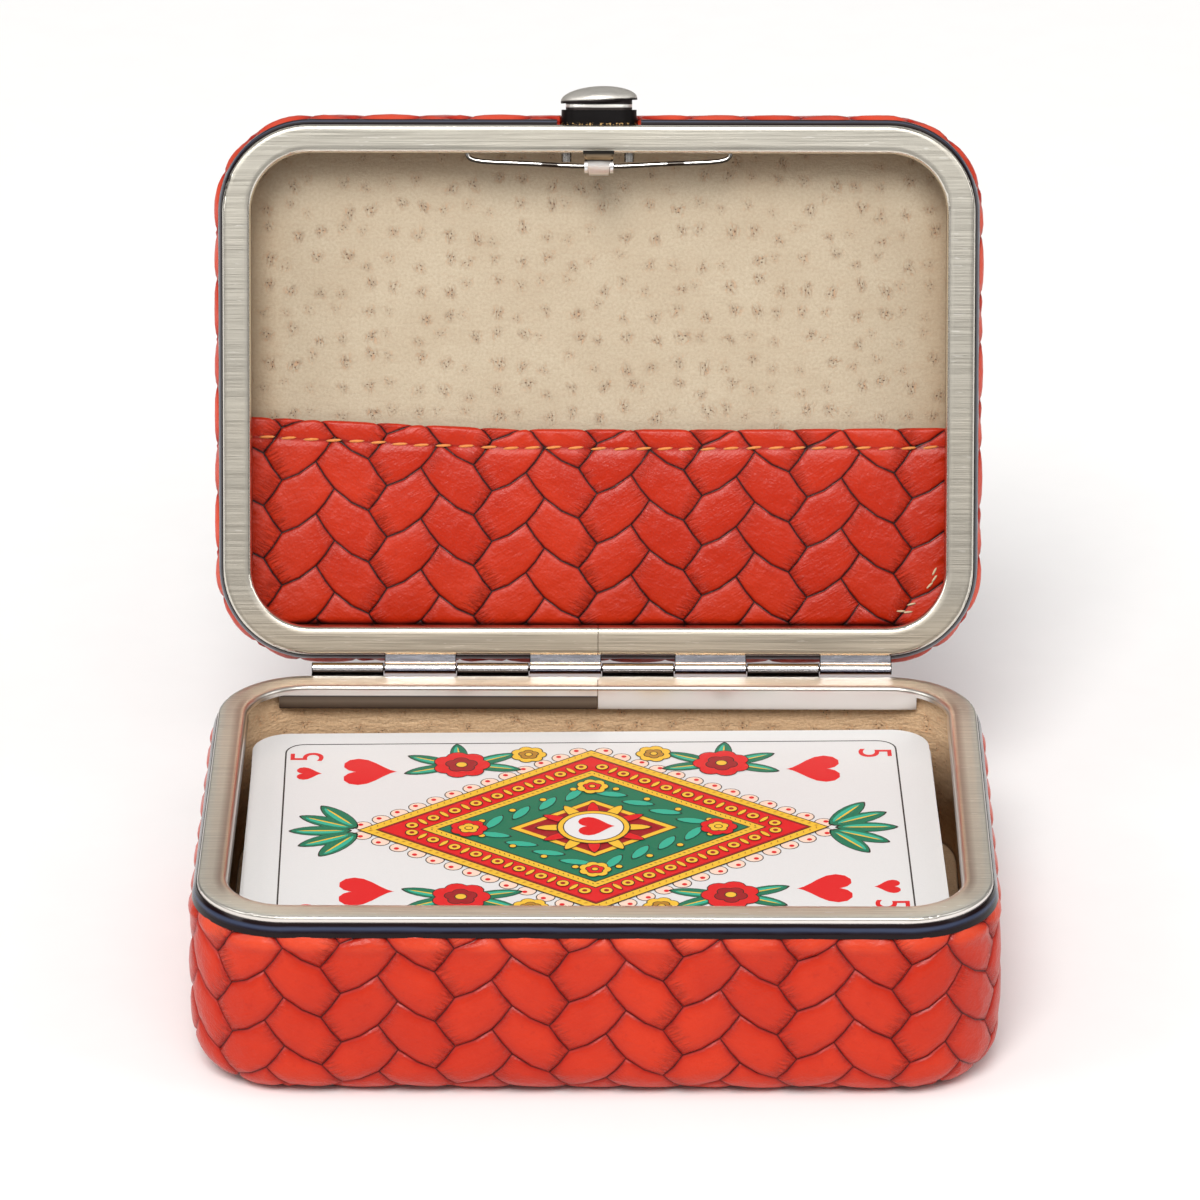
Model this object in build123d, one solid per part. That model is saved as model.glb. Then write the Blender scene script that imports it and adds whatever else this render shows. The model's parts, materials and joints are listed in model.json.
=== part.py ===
from build123d import *
import os
from math import sqrt

os.makedirs("parts", exist_ok=True)

# A hinged leather case for one deck of playing cards, in millimetres.
# The case stands on its tray with the lid open. X runs along the hinge to the right,
# Y runs from the button side to the hinge side, and Z is up from the tray's underside.

# Overall size
rim_width = 102.0
rim_depth = 72.0
corner_radius = 11.8
tray_height = 26.0
lid_height = 12.5
open_angle = 110.0

# Bent sheet rim of each half
sheet = 0.55
face_width = 3.85
skirt_height = 2.55
curl_height = 0.9
flange_height = 3.2
face_edge_radius = 0.35
curl_edge_radius = 0.5
seam_gap = 0.1

# Blackened bead round the outside of each rim
bead_width = 0.72
bead_top_width = 0.14

# Leather cover
leather_lip = 0.6
tray_belly = 1.25
lid_belly = 1.1
leather_foot = 0.6
leather_base = 1.6
tray_edge_round = 5.5
lid_edge_round = 4.4

# Board shell and lining
core_wall = 1.2
core_base = 1.9
wall_lining = 0.55
floor_lining = 0.65
floor_lining_round = 0.4
rim_clearance = 0.1
lining_clearance = 0.05
flange_clearance = 0.25

# Piano hinge
hinge_length = 79.0
hinge_shift = 0.5
knuckle_count = 8
knuckle_gap = 0.12
knuckle_radius = 0.75
hinge_offset = 1.8
rim_lift = 0.2
leaf_thickness = 0.5
leaf_drop = 0.25
pin_radius = 0.33
pin_clearance = 0.03

# Deck of cards
card_end_room = 1.65
card_side_room = 2.65
card_corner = 5.0
card_thickness = 0.31
squared_count = 42
loose_count = 12
deck_turn = 1.2
deck_shift = (-0.34, -1.12)
deck_spread = 0.35

# Pocket in the lid
pocket_reach = 30.4
pocket_sheet = 1.0
pocket_gap = 0.8
pocket_seam = 2.0

# Push-button latch
collar_length = 10.2
collar_width = 6.0
collar_round = 2.0
collar_height = 2.0
collar_wall = 0.5
collar_floor = 0.4
collar_inset = 0.35
notch_margin = 0.6
notch_clearance = 0.15
button_length = 10.4
button_width = 6.6
button_dome = 1.85
button_edge = 0.25
button_tilt = 3.0
button_lift = 1.1
button_travel = 0.75
skirt_clearance = 0.1
stem_width = 3.0
stem_depth = 2.0
stem_clearance = 0.1
hook_width = 3.3
hook_waist = 2.6
hook_nose_width = 4.2
hook_nose_length = 0.55
hook_throw = 2.98
hook_catch = 0.45
hook_bend = 2.4
hook_heel = 0.8
hook_clearance = 0.25
ear_radius = 0.95
ear_thickness = 0.45
ear_stop = 0.05
rivet_places = (-4.4, 4.1)
rivet_radius = 0.5
rivet_head_radius = 0.7
rivet_head = 1.2

# Bow spring of the latch
wire_radius = 0.325
wire_depth = 1.35
wire_clearance = 0.1
wire_centre = 1.75
wire_reach = 17.9
wire_end = 0.8

# Places that follow from the sizes above
half_width = rim_width / 2
half_depth = rim_depth / 2
long_straight = half_width - corner_radius
short_straight = half_depth - corner_radius
base_inset = corner_radius - 0.5
core_face = sheet
lining_face = core_face + core_wall
inner_face = lining_face + wall_lining
wall_top = -(sheet + rim_clearance)
flange_back = face_width - sheet
inner_radius = corner_radius - inner_face
flange_reach = sqrt(inner_radius ** 2 - (corner_radius - flange_back) ** 2) - flange_clearance
base_stack = leather_base + core_base + floor_lining
hinge_y = half_depth + hinge_offset
bead_top = leaf_drop + leaf_thickness
opening_edge = half_depth - face_width
card_length = rim_width - 2 * (face_width + card_end_room)
card_width = rim_depth - 2 * (face_width + card_side_room)
deck_base = base_stack - tray_height
loose_base = deck_base + squared_count * card_thickness
collar_centre = -(collar_inset + collar_width / 2)


def plan(outward, z=0.0):
    """Outline of the rim's outer edge, moved outward, on the level z."""
    return Pos(0, 0, z) * RectangleRounded(
        rim_width + 2 * outward, rim_depth + 2 * outward, corner_radius + outward
    )


def section(edges, rounds=()):
    """Closed outline in the plane (outward, up), with some of its corners rounded."""
    face = make_face(edges)
    for corner, radius in rounds:
        nearest = face.vertices().sort_by_distance((*corner, 0))[0]
        face = fillet(nearest, radius)
    return Plane.XZ * face


def ring(face):
    """Carry a section round the box: four straight sides and four turned corners."""
    corner = revolve(Pos(corner_radius, 0, 0) * face, Axis.Z, revolution_arc=90)
    side = extrude(Pos(half_width, -short_straight, 0) * face, 2 * short_straight, dir=(0, 1, 0))
    end = extrude(
        Pos(-long_straight, half_depth, 0) * Rot(0, 0, 90) * face, 2 * long_straight, dir=(1, 0, 0)
    )
    places = [
        (long_straight, short_straight),
        (-long_straight, short_straight),
        (-long_straight, -short_straight),
        (long_straight, -short_straight),
    ]
    solid = side + Rot(0, 0, 180) * side + end + Rot(0, 0, 180) * end
    for quarter, (x, y) in enumerate(places):
        solid += Pos(x, y, 0) * Rot(0, 0, 90 * quarter) * corner
    return solid


def rim_frame(hinge_side):
    """Bent metal rim: face, outer wall, curled inner edge and four inner flanges."""
    outline = Polyline(
        (0, 0),
        (0, -skirt_height),
        (-sheet, -skirt_height),
        (-sheet, -sheet),
        (-flange_back, -sheet),
        (-flange_back, -curl_height),
        (-face_width, -curl_height),
        (-face_width, 0),
        close=True,
    )
    rounds = [((0, 0), face_edge_radius), ((-face_width, 0), curl_edge_radius)]
    frame = ring(section(outline, rounds))
    tall = flange_height - sheet
    long_flange = Box(2 * (long_straight + flange_reach), sheet, tall)
    short_flange = Box(sheet, 2 * (short_straight + flange_reach), tall)
    level = -(sheet + flange_height) / 2
    for way in (-1, 1):
        frame += Pos(0, way * (half_depth - face_width + sheet / 2), level) * long_flange
        frame += Pos(way * (half_width - face_width + sheet / 2), 0, level) * short_flange
    slit = Box(seam_gap, face_width + 1, 2 * flange_height)
    return frame - Pos(0, hinge_side * (half_depth - face_width / 2), 0) * slit


def edge_bead():
    """Bead of wedge section that closes the joint between rim and leather."""
    outline = Polyline(
        (bead_width, -skirt_height), (0, -skirt_height), (0, -bead_top), (bead_top_width, -bead_top)
    )
    crown = (0.72 * bead_width, -(0.55 * bead_top + 0.45 * skirt_height))
    curve = ThreePointArc((bead_top_width, -bead_top), crown, (bead_width, -skirt_height))
    return ring(section([outline, curve]))


def leather_cover(height, belly, edge_round):
    """Leather over the outside of one half: swelling walls and a flat underside."""
    base = -height
    swell = ThreePointArc(
        (leather_lip, -skirt_height), (belly, -0.48 * height), (leather_foot, base)
    )
    rest = Polyline(
        (leather_foot, base),
        (-base_inset, base),
        (-base_inset, base + leather_base),
        (-core_face, base + leather_base),
        (-core_face, -skirt_height),
        (leather_lip, -skirt_height),
    )
    inner_round = edge_round - leather_base
    rounds = [((leather_foot, base), edge_round), ((-core_face, base + leather_base), inner_round)]
    walls = ring(section([swell, rest], rounds))
    return walls + extrude(plan(-base_inset, base), leather_base)


def board_core(height, edge_round):
    """Moulded board shell between leather and lining."""
    low = leather_base - height
    top = low + core_base
    outline = Polyline(
        (-core_face, wall_top),
        (-core_face, low),
        (-base_inset, low),
        (-base_inset, top),
        (-lining_face, top),
        (-lining_face, wall_top),
        close=True,
    )
    walls = ring(section(outline, [((-core_face, low), edge_round - leather_base)]))
    return walls + extrude(plan(-base_inset, low), core_base)


def side_lining(height):
    """Strip of lining round the inside walls."""
    low = leather_base + core_base - height
    outline = Polyline(
        (-lining_face, wall_top), (-lining_face, low), (-inner_face, low), (-inner_face, wall_top),
        close=True,
    )
    return ring(section(outline))


def base_lining(height):
    """Lined panel on the floor of one half, with a softly rounded edge."""
    low = leather_base + core_base - height
    panel = extrude(plan(-inner_face - lining_clearance, low), floor_lining)
    top_edges = panel.faces().sort_by(Axis.Z)[-1].edges()
    return fillet(top_edges, floor_lining_round)


def hinge_knuckles(hinge_side, first):
    """Every second knuckle of the hinge, each rolled at the end of its own leaf."""
    pitch = hinge_length / knuckle_count
    length = pitch - knuckle_gap
    knuckles = []
    for number in range(first, knuckle_count, 2):
        x = hinge_shift - hinge_length / 2 + (number + 0.5) * pitch
        barrel = Pos(x, hinge_side * hinge_y, rim_lift) * Rot(0, 90, 0) * Cylinder(knuckle_radius, length)
        bore = Pos(x, hinge_side * hinge_y, rim_lift) * Rot(0, 90, 0) * Cylinder(
            pin_radius + pin_clearance, pitch
        )
        leaf = Pos(
            x, hinge_side * (half_depth + hinge_offset / 2), -(leaf_drop + leaf_thickness / 2)
        ) * Box(length, hinge_offset, leaf_thickness)
        knuckles.append(barrel + leaf - bore)
    return Compound(children=[piece.solid() for piece in knuckles])


def hinge_pin():
    """Wire pin through all the knuckles."""
    length = hinge_length - knuckle_gap
    return Pos(hinge_shift, hinge_y, rim_lift) * Rot(0, 90, 0) * Cylinder(pin_radius, length)


def cards(level, count, turn, x, y):
    """A number of cards squared up, lying flat with the lowest on the given level."""
    block = extrude(RectangleRounded(card_length, card_width, card_corner), count * card_thickness)
    return Pos(x, y, level) * Rot(0, 0, turn) * block


def card_stack():
    """The cards under the top one: a squared block, then loose cards, each a little askew."""
    slip = deck_shift[0] - 0.8 * deck_spread
    deck = [cards(deck_base, squared_count, 0.6 * deck_turn, slip, deck_shift[1]).solid()]
    for number in range(loose_count):
        wave = ((number * 7) % 11) / 5 - 1
        x = slip + deck_spread * (0.6 * wave + 0.8 * number / loose_count)
        y = deck_shift[1] + deck_spread * 0.5 * (((number * 5) % 7) / 3 - 1)
        turn = deck_turn * (0.55 + 0.1 * wave)
        deck.append(cards(loose_base + number * card_thickness, 1, turn, x, y).solid())
    return Compound(children=deck)


def top_card():
    """The uppermost card, face up."""
    return cards(loose_base + loose_count * card_thickness, 1, deck_turn, *deck_shift)


def lid_pocket():
    """Flat leather pocket on the lid's lining, open towards the button side."""
    back = base_stack - lid_height
    sides = inner_face + lining_clearance
    mouth = pocket_reach - half_depth
    keep = Pos(0, mouth - rim_depth / 2, back) * Box(rim_width, rim_depth, lid_height)
    body = extrude(plan(-sides, back), pocket_gap + pocket_sheet) & keep
    hollow = extrude(plan(-sides - pocket_seam, back), pocket_gap)
    body -= hollow
    front = body.faces().sort_by(Axis.Z)[-1]
    mouth_edge = front.edges().sort_by(Axis.Y)[-1]
    return fillet(mouth_edge, pocket_sheet * 0.4)


def upright(sketch, z):
    """Stand a sketch across the button side, so that it extrudes away from the hinge."""
    return Pos(0, 0, z) * Rot(-90, 0, 0) * sketch


def collar_outline(margin=0.0):
    """Outline of the button's collar on the front wall of the lid."""
    return RectangleRounded(
        collar_length + 2 * margin, collar_width + 2 * margin, collar_round + margin
    )


def latch_collar():
    """Black collar that the button sinks into, seated on rim and board."""
    outline = upright(collar_outline(), collar_centre)
    block = extrude(Pos(0, half_depth - core_face, 0) * outline, collar_height + core_face)
    over_rim = Pos(0, half_depth - core_face / 2, -skirt_height / 2) * Box(
        2 * collar_length, core_face, skirt_height
    )
    recess = upright(collar_outline(-collar_wall), collar_centre)
    block -= over_rim
    block -= extrude(Pos(0, half_depth + collar_floor, 0) * recess, collar_height)
    block -= stem_slot()
    for x in rivet_places:
        block -= rivet_shank(x, rivet_radius)
    return block


def stem_slot():
    """Clear way for the latch's stem through rim, board, lining and collar."""
    return Pos(0, half_depth - face_width / 2, -stem_depth) * Box(
        stem_width + 2 * stem_clearance, 2 * face_width + 2, sheet + 2 * stem_clearance
    )


def rivet_shank(x, radius):
    """Shank of one collar rivet, from the collar's floor to inside the rim."""
    length = face_width + collar_floor
    middle = half_depth + collar_floor - length / 2
    return Pos(x, middle, -stem_depth) * Rot(90, 0, 0) * Cylinder(radius, length)


def collar_rivets():
    """Two rivets that hold the collar, with their heads inside the opening."""
    rivets = []
    for x in rivet_places:
        head = Pos(x, opening_edge - rivet_head / 2, -stem_depth) * Rot(90, 0, 0) * Cylinder(
            rivet_head_radius, rivet_head
        )
        rivets.append((head + rivet_shank(x, rivet_radius)).solid())
    return Compound(children=rivets)


def button_notch(solid, margin):
    """Cut the collar's outline, with a margin, out of a wall of the lid."""
    outline = upright(collar_outline(margin), collar_centre)
    return solid - extrude(Pos(0, half_depth - core_face, 0) * outline, 2 * collar_height)


def latch_button():
    """Domed push-button, set a little askew on the skirt that runs in the collar."""
    radius = button_length / 2
    base = half_depth + collar_height + button_lift
    rim = Polyline((0, button_edge + button_dome), (0, 0), (radius, 0), (radius, button_edge))
    crown = EllipticalCenterArc((0, button_edge), radius, button_dome, 0, arc_size=90)
    cap = revolve(Plane.XZ * make_face([rim, crown]), Axis.Z)
    cap = scale(cap, by=(1, button_width / button_length, 1))
    cap = Pos(0, base, collar_centre) * Rot(0, 0, button_tilt) * Rot(-90, 0, 0) * cap
    low = half_depth + collar_floor + button_travel + skirt_clearance
    outline = upright(collar_outline(-collar_wall - skirt_clearance), collar_centre)
    skirt = extrude(Pos(0, low, 0) * outline, base + button_edge - low)
    return cap + skirt


def latch_stem():
    """Flat stem from the button's skirt through the rim to the hook."""
    outer = half_depth + collar_floor + button_travel + skirt_clearance
    inner = opening_edge - hook_catch
    return Pos(0, (outer + inner) / 2, -stem_depth) * Box(stem_width, outer - inner, sheet)


def bent_end(outline, outward):
    """Round the closed end of the hook's outline: a tight heel below, a wide bend above."""
    heel, bend = outline.vertices().group_by(Axis.X)[0].sort_by(Axis.Y)
    outline = fillet(heel, hook_heel + outward)
    bend = outline.vertices().sort_by_distance(bend.center())[0]
    return fillet(bend, hook_bend + outward)


def latch_hook():
    """Bent strip that turns up out of the lid, with a wider nose and two ears for the wire."""
    low = -stem_depth - sheet / 2
    high = 2 * rim_lift + flange_height + hook_clearance + sheet
    back = opening_edge - hook_throw
    stem_end = opening_edge - hook_catch
    tip = opening_edge + hook_catch
    width = tip - back
    height = high - low
    middle = Pos(back + width / 2, (low + high) / 2)
    outer = bent_end(middle * Rectangle(width, height), sheet / 2)
    inner = bent_end(middle * Pos(sheet, 0) * Rectangle(width, height - 2 * sheet), -sheet / 2)
    lower_arm = Pos(stem_end + width / 2, low) * Rectangle(width, 2 * height - 4 * sheet)
    strip = Plane.YZ * (outer - inner - lower_arm)
    strip = extrude(strip, hook_width / 2, both=True)
    waist = make_face(
        Polyline(
            (-hook_width / 2, tip),
            (-hook_width / 2, stem_end),
            (-hook_waist / 2, back),
            (hook_waist / 2, back),
            (hook_width / 2, stem_end),
            (hook_width / 2, tip),
            close=True,
        )
    )
    strip &= Pos(0, 0, low) * extrude(waist, height)
    strip += Pos(0, tip - hook_nose_length / 2, high - sheet / 2) * Box(
        hook_nose_width, hook_nose_length, sheet
    )
    for way in (-1, 1):
        strip += wire_ear(way)
    return strip


def wire_ear(way):
    """Side plate of the hook with the hole for the wire."""
    middle = opening_edge - wire_centre
    disc = Pos(middle, -wire_depth) * Circle(ear_radius)
    low = -stem_depth - sheet / 2
    front = opening_edge - ear_stop
    back = middle - ear_radius
    foot = Pos((front + back) / 2, (low - wire_depth) / 2) * Rectangle(
        front - back, -wire_depth - low
    )
    hole = Pos(middle, -wire_depth) * Circle(wire_radius + wire_clearance)
    plate = extrude(Plane.YZ * (disc + foot - hole), ear_thickness, dir=(way, 0, 0))
    return Pos(way * stem_width / 2, 0, 0) * plate


def wire_route():
    """Middle line of the bow spring, from one flange hole to the other."""
    half = [
        (wire_reach, opening_edge + wire_end),
        (wire_reach, opening_edge - 0.45),
        (wire_reach - 1.7, opening_edge - 1.15),
        (0.4 * wire_reach, opening_edge - wire_centre + 0.25),
        (hook_width / 2 + ear_thickness + 0.4, opening_edge - wire_centre),
    ]
    points = [(-x, y) for x, y in half] + [(x, y) for x, y in reversed(half)]
    bends = [0.5, 1.0, 6.0, 6.0]
    route = FilletPolyline(*points, radius=bends + bends[::-1])
    return Pos(0, 0, -wire_depth) * route


def latch_spring():
    """Bow of round wire that holds the hook out against its stops."""
    route = wire_route()
    start = Plane(route @ 0, z_dir=route % 0)
    return sweep(start * Circle(wire_radius), path=route)


def wire_holes():
    """Holes in the rim's flange for the two ends of the wire."""
    holes = []
    for way in (-1, 1):
        holes.append(
            Pos(way * wire_reach, opening_edge + sheet / 2, -wire_depth)
            * Rot(90, 0, 0)
            * Cylinder(wire_radius + wire_clearance, 4 * sheet)
        )
    return holes


def lid_walls():
    """The lid's rim, bead, leather, board and lining, opened for the latch."""
    frame = rim_frame(-1) - stem_slot()
    core = board_core(lid_height, lid_edge_round) - stem_slot()
    lining = side_lining(lid_height) - stem_slot()
    for x in rivet_places:
        shank = rivet_shank(x, rivet_radius)
        frame -= shank
        core -= shank
        lining -= shank
    for hole in wire_holes():
        frame -= hole
    gap = Box(collar_length + 2 * notch_margin, 2 * face_width, 2 * skirt_height)
    bead = edge_bead() - Pos(0, half_depth + face_width, -skirt_height) * gap
    leather = button_notch(leather_cover(lid_height, lid_belly, lid_edge_round), notch_clearance)
    for way in (-1, 1):
        near = collar_length / 2 + notch_clearance
        far = collar_length / 2 + notch_margin - notch_clearance
        turned = Pos(
            way * (near + far) / 2, half_depth + leather_lip / 2, -(skirt_height + bead_top) / 2
        ) * Box(far - near, leather_lip, skirt_height - bead_top)
        leather += turned
    return frame, bead, leather, core, lining


tray_place = Pos(0, 0, tray_height)
lid_place = (
    Pos(0, hinge_y, tray_height + rim_lift)
    * Rot(180 - open_angle, 0, 0)
    * Pos(0, hinge_y, -rim_lift)
)

lid_frame, lid_bead, lid_leather, lid_core, lid_lining = lid_walls()

tray_pieces = {
    "tray_frame": rim_frame(1),
    "tray_edge_bead": edge_bead(),
    "tray_leather": leather_cover(tray_height, tray_belly, tray_edge_round),
    "tray_core": board_core(tray_height, tray_edge_round),
    "tray_wall_lining": side_lining(tray_height),
    "tray_floor_lining": base_lining(tray_height),
    "tray_hinge_knuckles": hinge_knuckles(1, 0),
    "hinge_pin": hinge_pin(),
    "card_deck": card_stack(),
    "top_card": top_card(),
}

lid_pieces = {
    "lid_frame": lid_frame,
    "lid_edge_bead": lid_bead,
    "lid_leather": lid_leather,
    "lid_core": lid_core,
    "lid_wall_lining": lid_lining,
    "lid_floor_lining": base_lining(lid_height),
    "lid_pocket": lid_pocket(),
    "lid_hinge_knuckles": hinge_knuckles(-1, 1),
    "latch_collar": latch_collar(),
    "collar_rivets": collar_rivets(),
    "latch_spring": latch_spring(),
    "latch_button": latch_button(),
    "latch_stem": latch_stem(),
    "latch_hook": latch_hook(),
}

for pieces, place in ((tray_pieces, tray_place), (lid_pieces, lid_place)):
    for name, piece in pieces.items():
        export_step(place * piece, f"parts/{name}.step")
        print(name, round(piece.volume, 2), "mm3")
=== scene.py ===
# %% [markdown]
# # A leather case for playing cards, dressed in Blender
# The case is two halves on a piano hinge. Each half is a moulded board shell, covered with woven
# leather and closed with a bent metal rim. The hard parts come from the CAD frame and keep their
# meshes here. This notebook gives them their finishes and makes the soft parts: the woven
# leather, the linings, the pocket in the lid, the latch's wire and the print on the top card.
# Everything is in metres, in the frame's own axes: X along the hinge, Y to the hinge, Z up.

# %% Load the frame
import json
from math import atan2, cos, exp, hypot, pi, radians, sin, sqrt

import bmesh
import bpy
from mathutils import Matrix, Vector
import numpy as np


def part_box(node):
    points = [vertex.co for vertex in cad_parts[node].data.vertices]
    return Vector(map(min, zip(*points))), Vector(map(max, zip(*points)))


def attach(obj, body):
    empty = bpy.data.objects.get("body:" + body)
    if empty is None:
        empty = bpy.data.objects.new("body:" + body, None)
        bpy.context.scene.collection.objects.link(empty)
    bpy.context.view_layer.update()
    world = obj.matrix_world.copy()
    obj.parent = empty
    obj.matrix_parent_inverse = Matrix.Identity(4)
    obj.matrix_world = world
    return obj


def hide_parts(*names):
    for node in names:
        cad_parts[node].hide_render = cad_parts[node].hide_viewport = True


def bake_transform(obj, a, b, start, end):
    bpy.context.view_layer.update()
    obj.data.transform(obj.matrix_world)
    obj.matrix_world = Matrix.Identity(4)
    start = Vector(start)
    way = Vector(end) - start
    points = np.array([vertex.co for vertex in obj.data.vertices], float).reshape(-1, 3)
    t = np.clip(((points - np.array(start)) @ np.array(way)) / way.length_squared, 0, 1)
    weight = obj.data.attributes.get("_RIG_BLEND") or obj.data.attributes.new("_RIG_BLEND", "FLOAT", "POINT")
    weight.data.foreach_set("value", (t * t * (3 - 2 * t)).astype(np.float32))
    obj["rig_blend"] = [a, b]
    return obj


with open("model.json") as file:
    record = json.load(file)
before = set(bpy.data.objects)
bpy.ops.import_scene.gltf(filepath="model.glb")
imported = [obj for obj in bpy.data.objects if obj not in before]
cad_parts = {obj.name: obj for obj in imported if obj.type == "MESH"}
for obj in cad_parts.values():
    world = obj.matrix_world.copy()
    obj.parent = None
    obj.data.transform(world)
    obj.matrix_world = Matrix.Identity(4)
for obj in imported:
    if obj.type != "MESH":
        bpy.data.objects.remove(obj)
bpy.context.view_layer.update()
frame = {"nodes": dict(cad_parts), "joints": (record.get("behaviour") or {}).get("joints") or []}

# %% [markdown]
# ## Sizes that everything else follows
# The rim of the tray is the one piece that every other size hangs on, so its box is read from the
# frame. The lid is drawn lying flat beside the tray, as a second tray would be, and one matrix
# stands it up on the hinge. That way one set of functions serves both halves.

# %% Sizes and places
mm = 0.001
low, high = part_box("tray_frame")
half_width = high.x
half_depth = high.y
tray_height = high.z
corner_radius = 11.8 * mm
lid_height = 12.5 * mm
long_straight = half_width - corner_radius
short_straight = half_depth - corner_radius
skirt_height = 2.55 * mm
face_width = 3.85 * mm
base_stack = 4.15 * mm
leather_lip = 0.6 * mm

hinge_joint = next(joint for joint in frame["joints"] if joint["name"] == "lid_hinge")
pivot = Vector(hinge_joint["pos_m"])
rim_lift = pivot.z - tray_height
lean = radians(180 - 110)
tray_place = Matrix.Translation((0, 0, tray_height))
lid_place = (
    Matrix.Translation(pivot)
    @ Matrix.Rotation(lean, 4, "X")
    @ Matrix.Translation((0, pivot.y, -rim_lift))
)
tray_up = Vector((0, 0, 1))
lid_up = (lid_place.to_3x3() @ tray_up).normalized()
print("rim", half_width, half_depth, "tray height", tray_height, "lid faces", lid_up)

# %% [markdown]
# ## Camera
# The photograph was taken with a long lens from a little above. The camera's place, turn and
# focal length were fitted to the rims and the top card, so the outlines fall where they do there.

# %% Camera
photo_width = 1200
focal_pixels = 6930.7
view_distance = 0.94284
view_target = Vector((0.281, 36.995, 26.19)) * mm
view_pitch = radians(25.2)
view_yaw = radians(0.331)
view_roll = radians(-0.013)
centre_row = 671.2

back = Vector((sin(view_yaw) * cos(view_pitch), -cos(view_yaw) * cos(view_pitch), sin(view_pitch)))
right = Vector((-back.y, back.x, 0)).normalized()
up = back.cross(right)
turned_right = cos(view_roll) * right + sin(view_roll) * up
turned_up = -sin(view_roll) * right + cos(view_roll) * up

camera_data = bpy.data.cameras.new("photo_camera")
camera_data.sensor_width = 36
camera_data.lens = focal_pixels * camera_data.sensor_width / photo_width
camera_data.shift_y = (centre_row - photo_width / 2) / photo_width
camera_data.clip_start = 0.01
camera = bpy.data.objects.new("photo_camera", camera_data)
bpy.context.scene.collection.objects.link(camera)
turn = Matrix((turned_right, turned_up, back)).transposed().to_4x4()
camera.matrix_world = Matrix.Translation(view_target + back * view_distance) @ turn
bpy.context.scene.camera = camera
print("camera at", camera.location, "lens", round(camera_data.lens, 1))

# %% [markdown]
# ## Studio light
# The photograph has one broad light high in front, soft light from both sides and a white sweep
# behind. Three area lamps reflect in the metal as pale fields. A wide sun, which stands for a
# studio window, casts the soft shadow of the lid's rim on its lining. The room is dark near the
# horizon and bright half-way up, because metal looks like metal only beside something dark. The
# picture is kept in the Standard view, which shows the colours as they are mixed.

# %% Studio light
def softbox(name, place, target, width, height, power, tint=(1.0, 1.0, 1.0)):
    """One rectangular lamp that points at a target."""
    data = bpy.data.lights.new(name, "AREA")
    data.shape = "RECTANGLE"
    data.size = width
    data.size_y = height
    data.energy = power
    data.color = tint
    lamp = bpy.data.objects.new(name, data)
    bpy.context.scene.collection.objects.link(lamp)
    aim = (Vector(target) - Vector(place)).to_track_quat("-Z", "Y")
    lamp.matrix_world = Matrix.Translation(place) @ aim.to_matrix().to_4x4()
    return lamp


middle = (0, 0.02, 0.04)
softbox("left_box", (-0.9, -0.35, 0.62), middle, 0.5, 0.7, 2.4)
softbox("right_box", (0.9, -0.30, 0.62), middle, 0.5, 0.7, 1.8)
softbox("front_box", (0.02, -0.74, 0.80), middle, 0.80, 0.34, 2.9)

sky_data = bpy.data.lights.new("studio_window", "SUN")
sky_data.energy = 1.9
sky_data.angle = radians(26)
sky_data.color = (1.0, 0.985, 0.96)
sky = bpy.data.objects.new("studio_window", sky_data)
sky.matrix_world = Vector((0.12, 0.66, -0.82)).to_track_quat("-Z", "Y").to_matrix().to_4x4()
bpy.context.scene.collection.objects.link(sky)

world = bpy.data.worlds.new("studio")
world.use_nodes = True
air = world.node_tree
way = air.nodes.new("ShaderNodeTexCoord").outputs["Generated"]
split = air.nodes.new("ShaderNodeSeparateXYZ")
air.links.new(way, split.inputs[0])
ramp = air.nodes.new("ShaderNodeValToRGB")
air.links.new(split.outputs["Z"], ramp.inputs[0])
horizon, zenith = ramp.color_ramp.elements
horizon.position, horizon.color = 0.02, (0.16, 0.145, 0.135, 1)
zenith.position, zenith.color = 0.97, (0.55, 0.55, 0.56, 1)
for height, shade in ((0.22, 0.18), (0.36, 0.62), (0.50, 0.90), (0.63, 0.80), (0.75, 0.34)):
    step = ramp.color_ramp.elements.new(height)
    step.color = (shade, shade * 0.985, shade * 0.965, 1)
air.links.new(ramp.outputs[0], air.nodes["Background"].inputs["Color"])
air.nodes["Background"].inputs["Strength"].default_value = 0.85
bpy.context.scene.world = world
bpy.context.scene.view_settings.view_transform = "Standard"

# %% [markdown]
# ## Helper for finishes
# A finish is made by a small class. It holds a material's node tree and gives the usual nodes
# short names: numbers go through math and remap, colours through mix and ramp, and noise comes
# from grain. The last call, done, links the colour and the roughness and returns the material.

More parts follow.
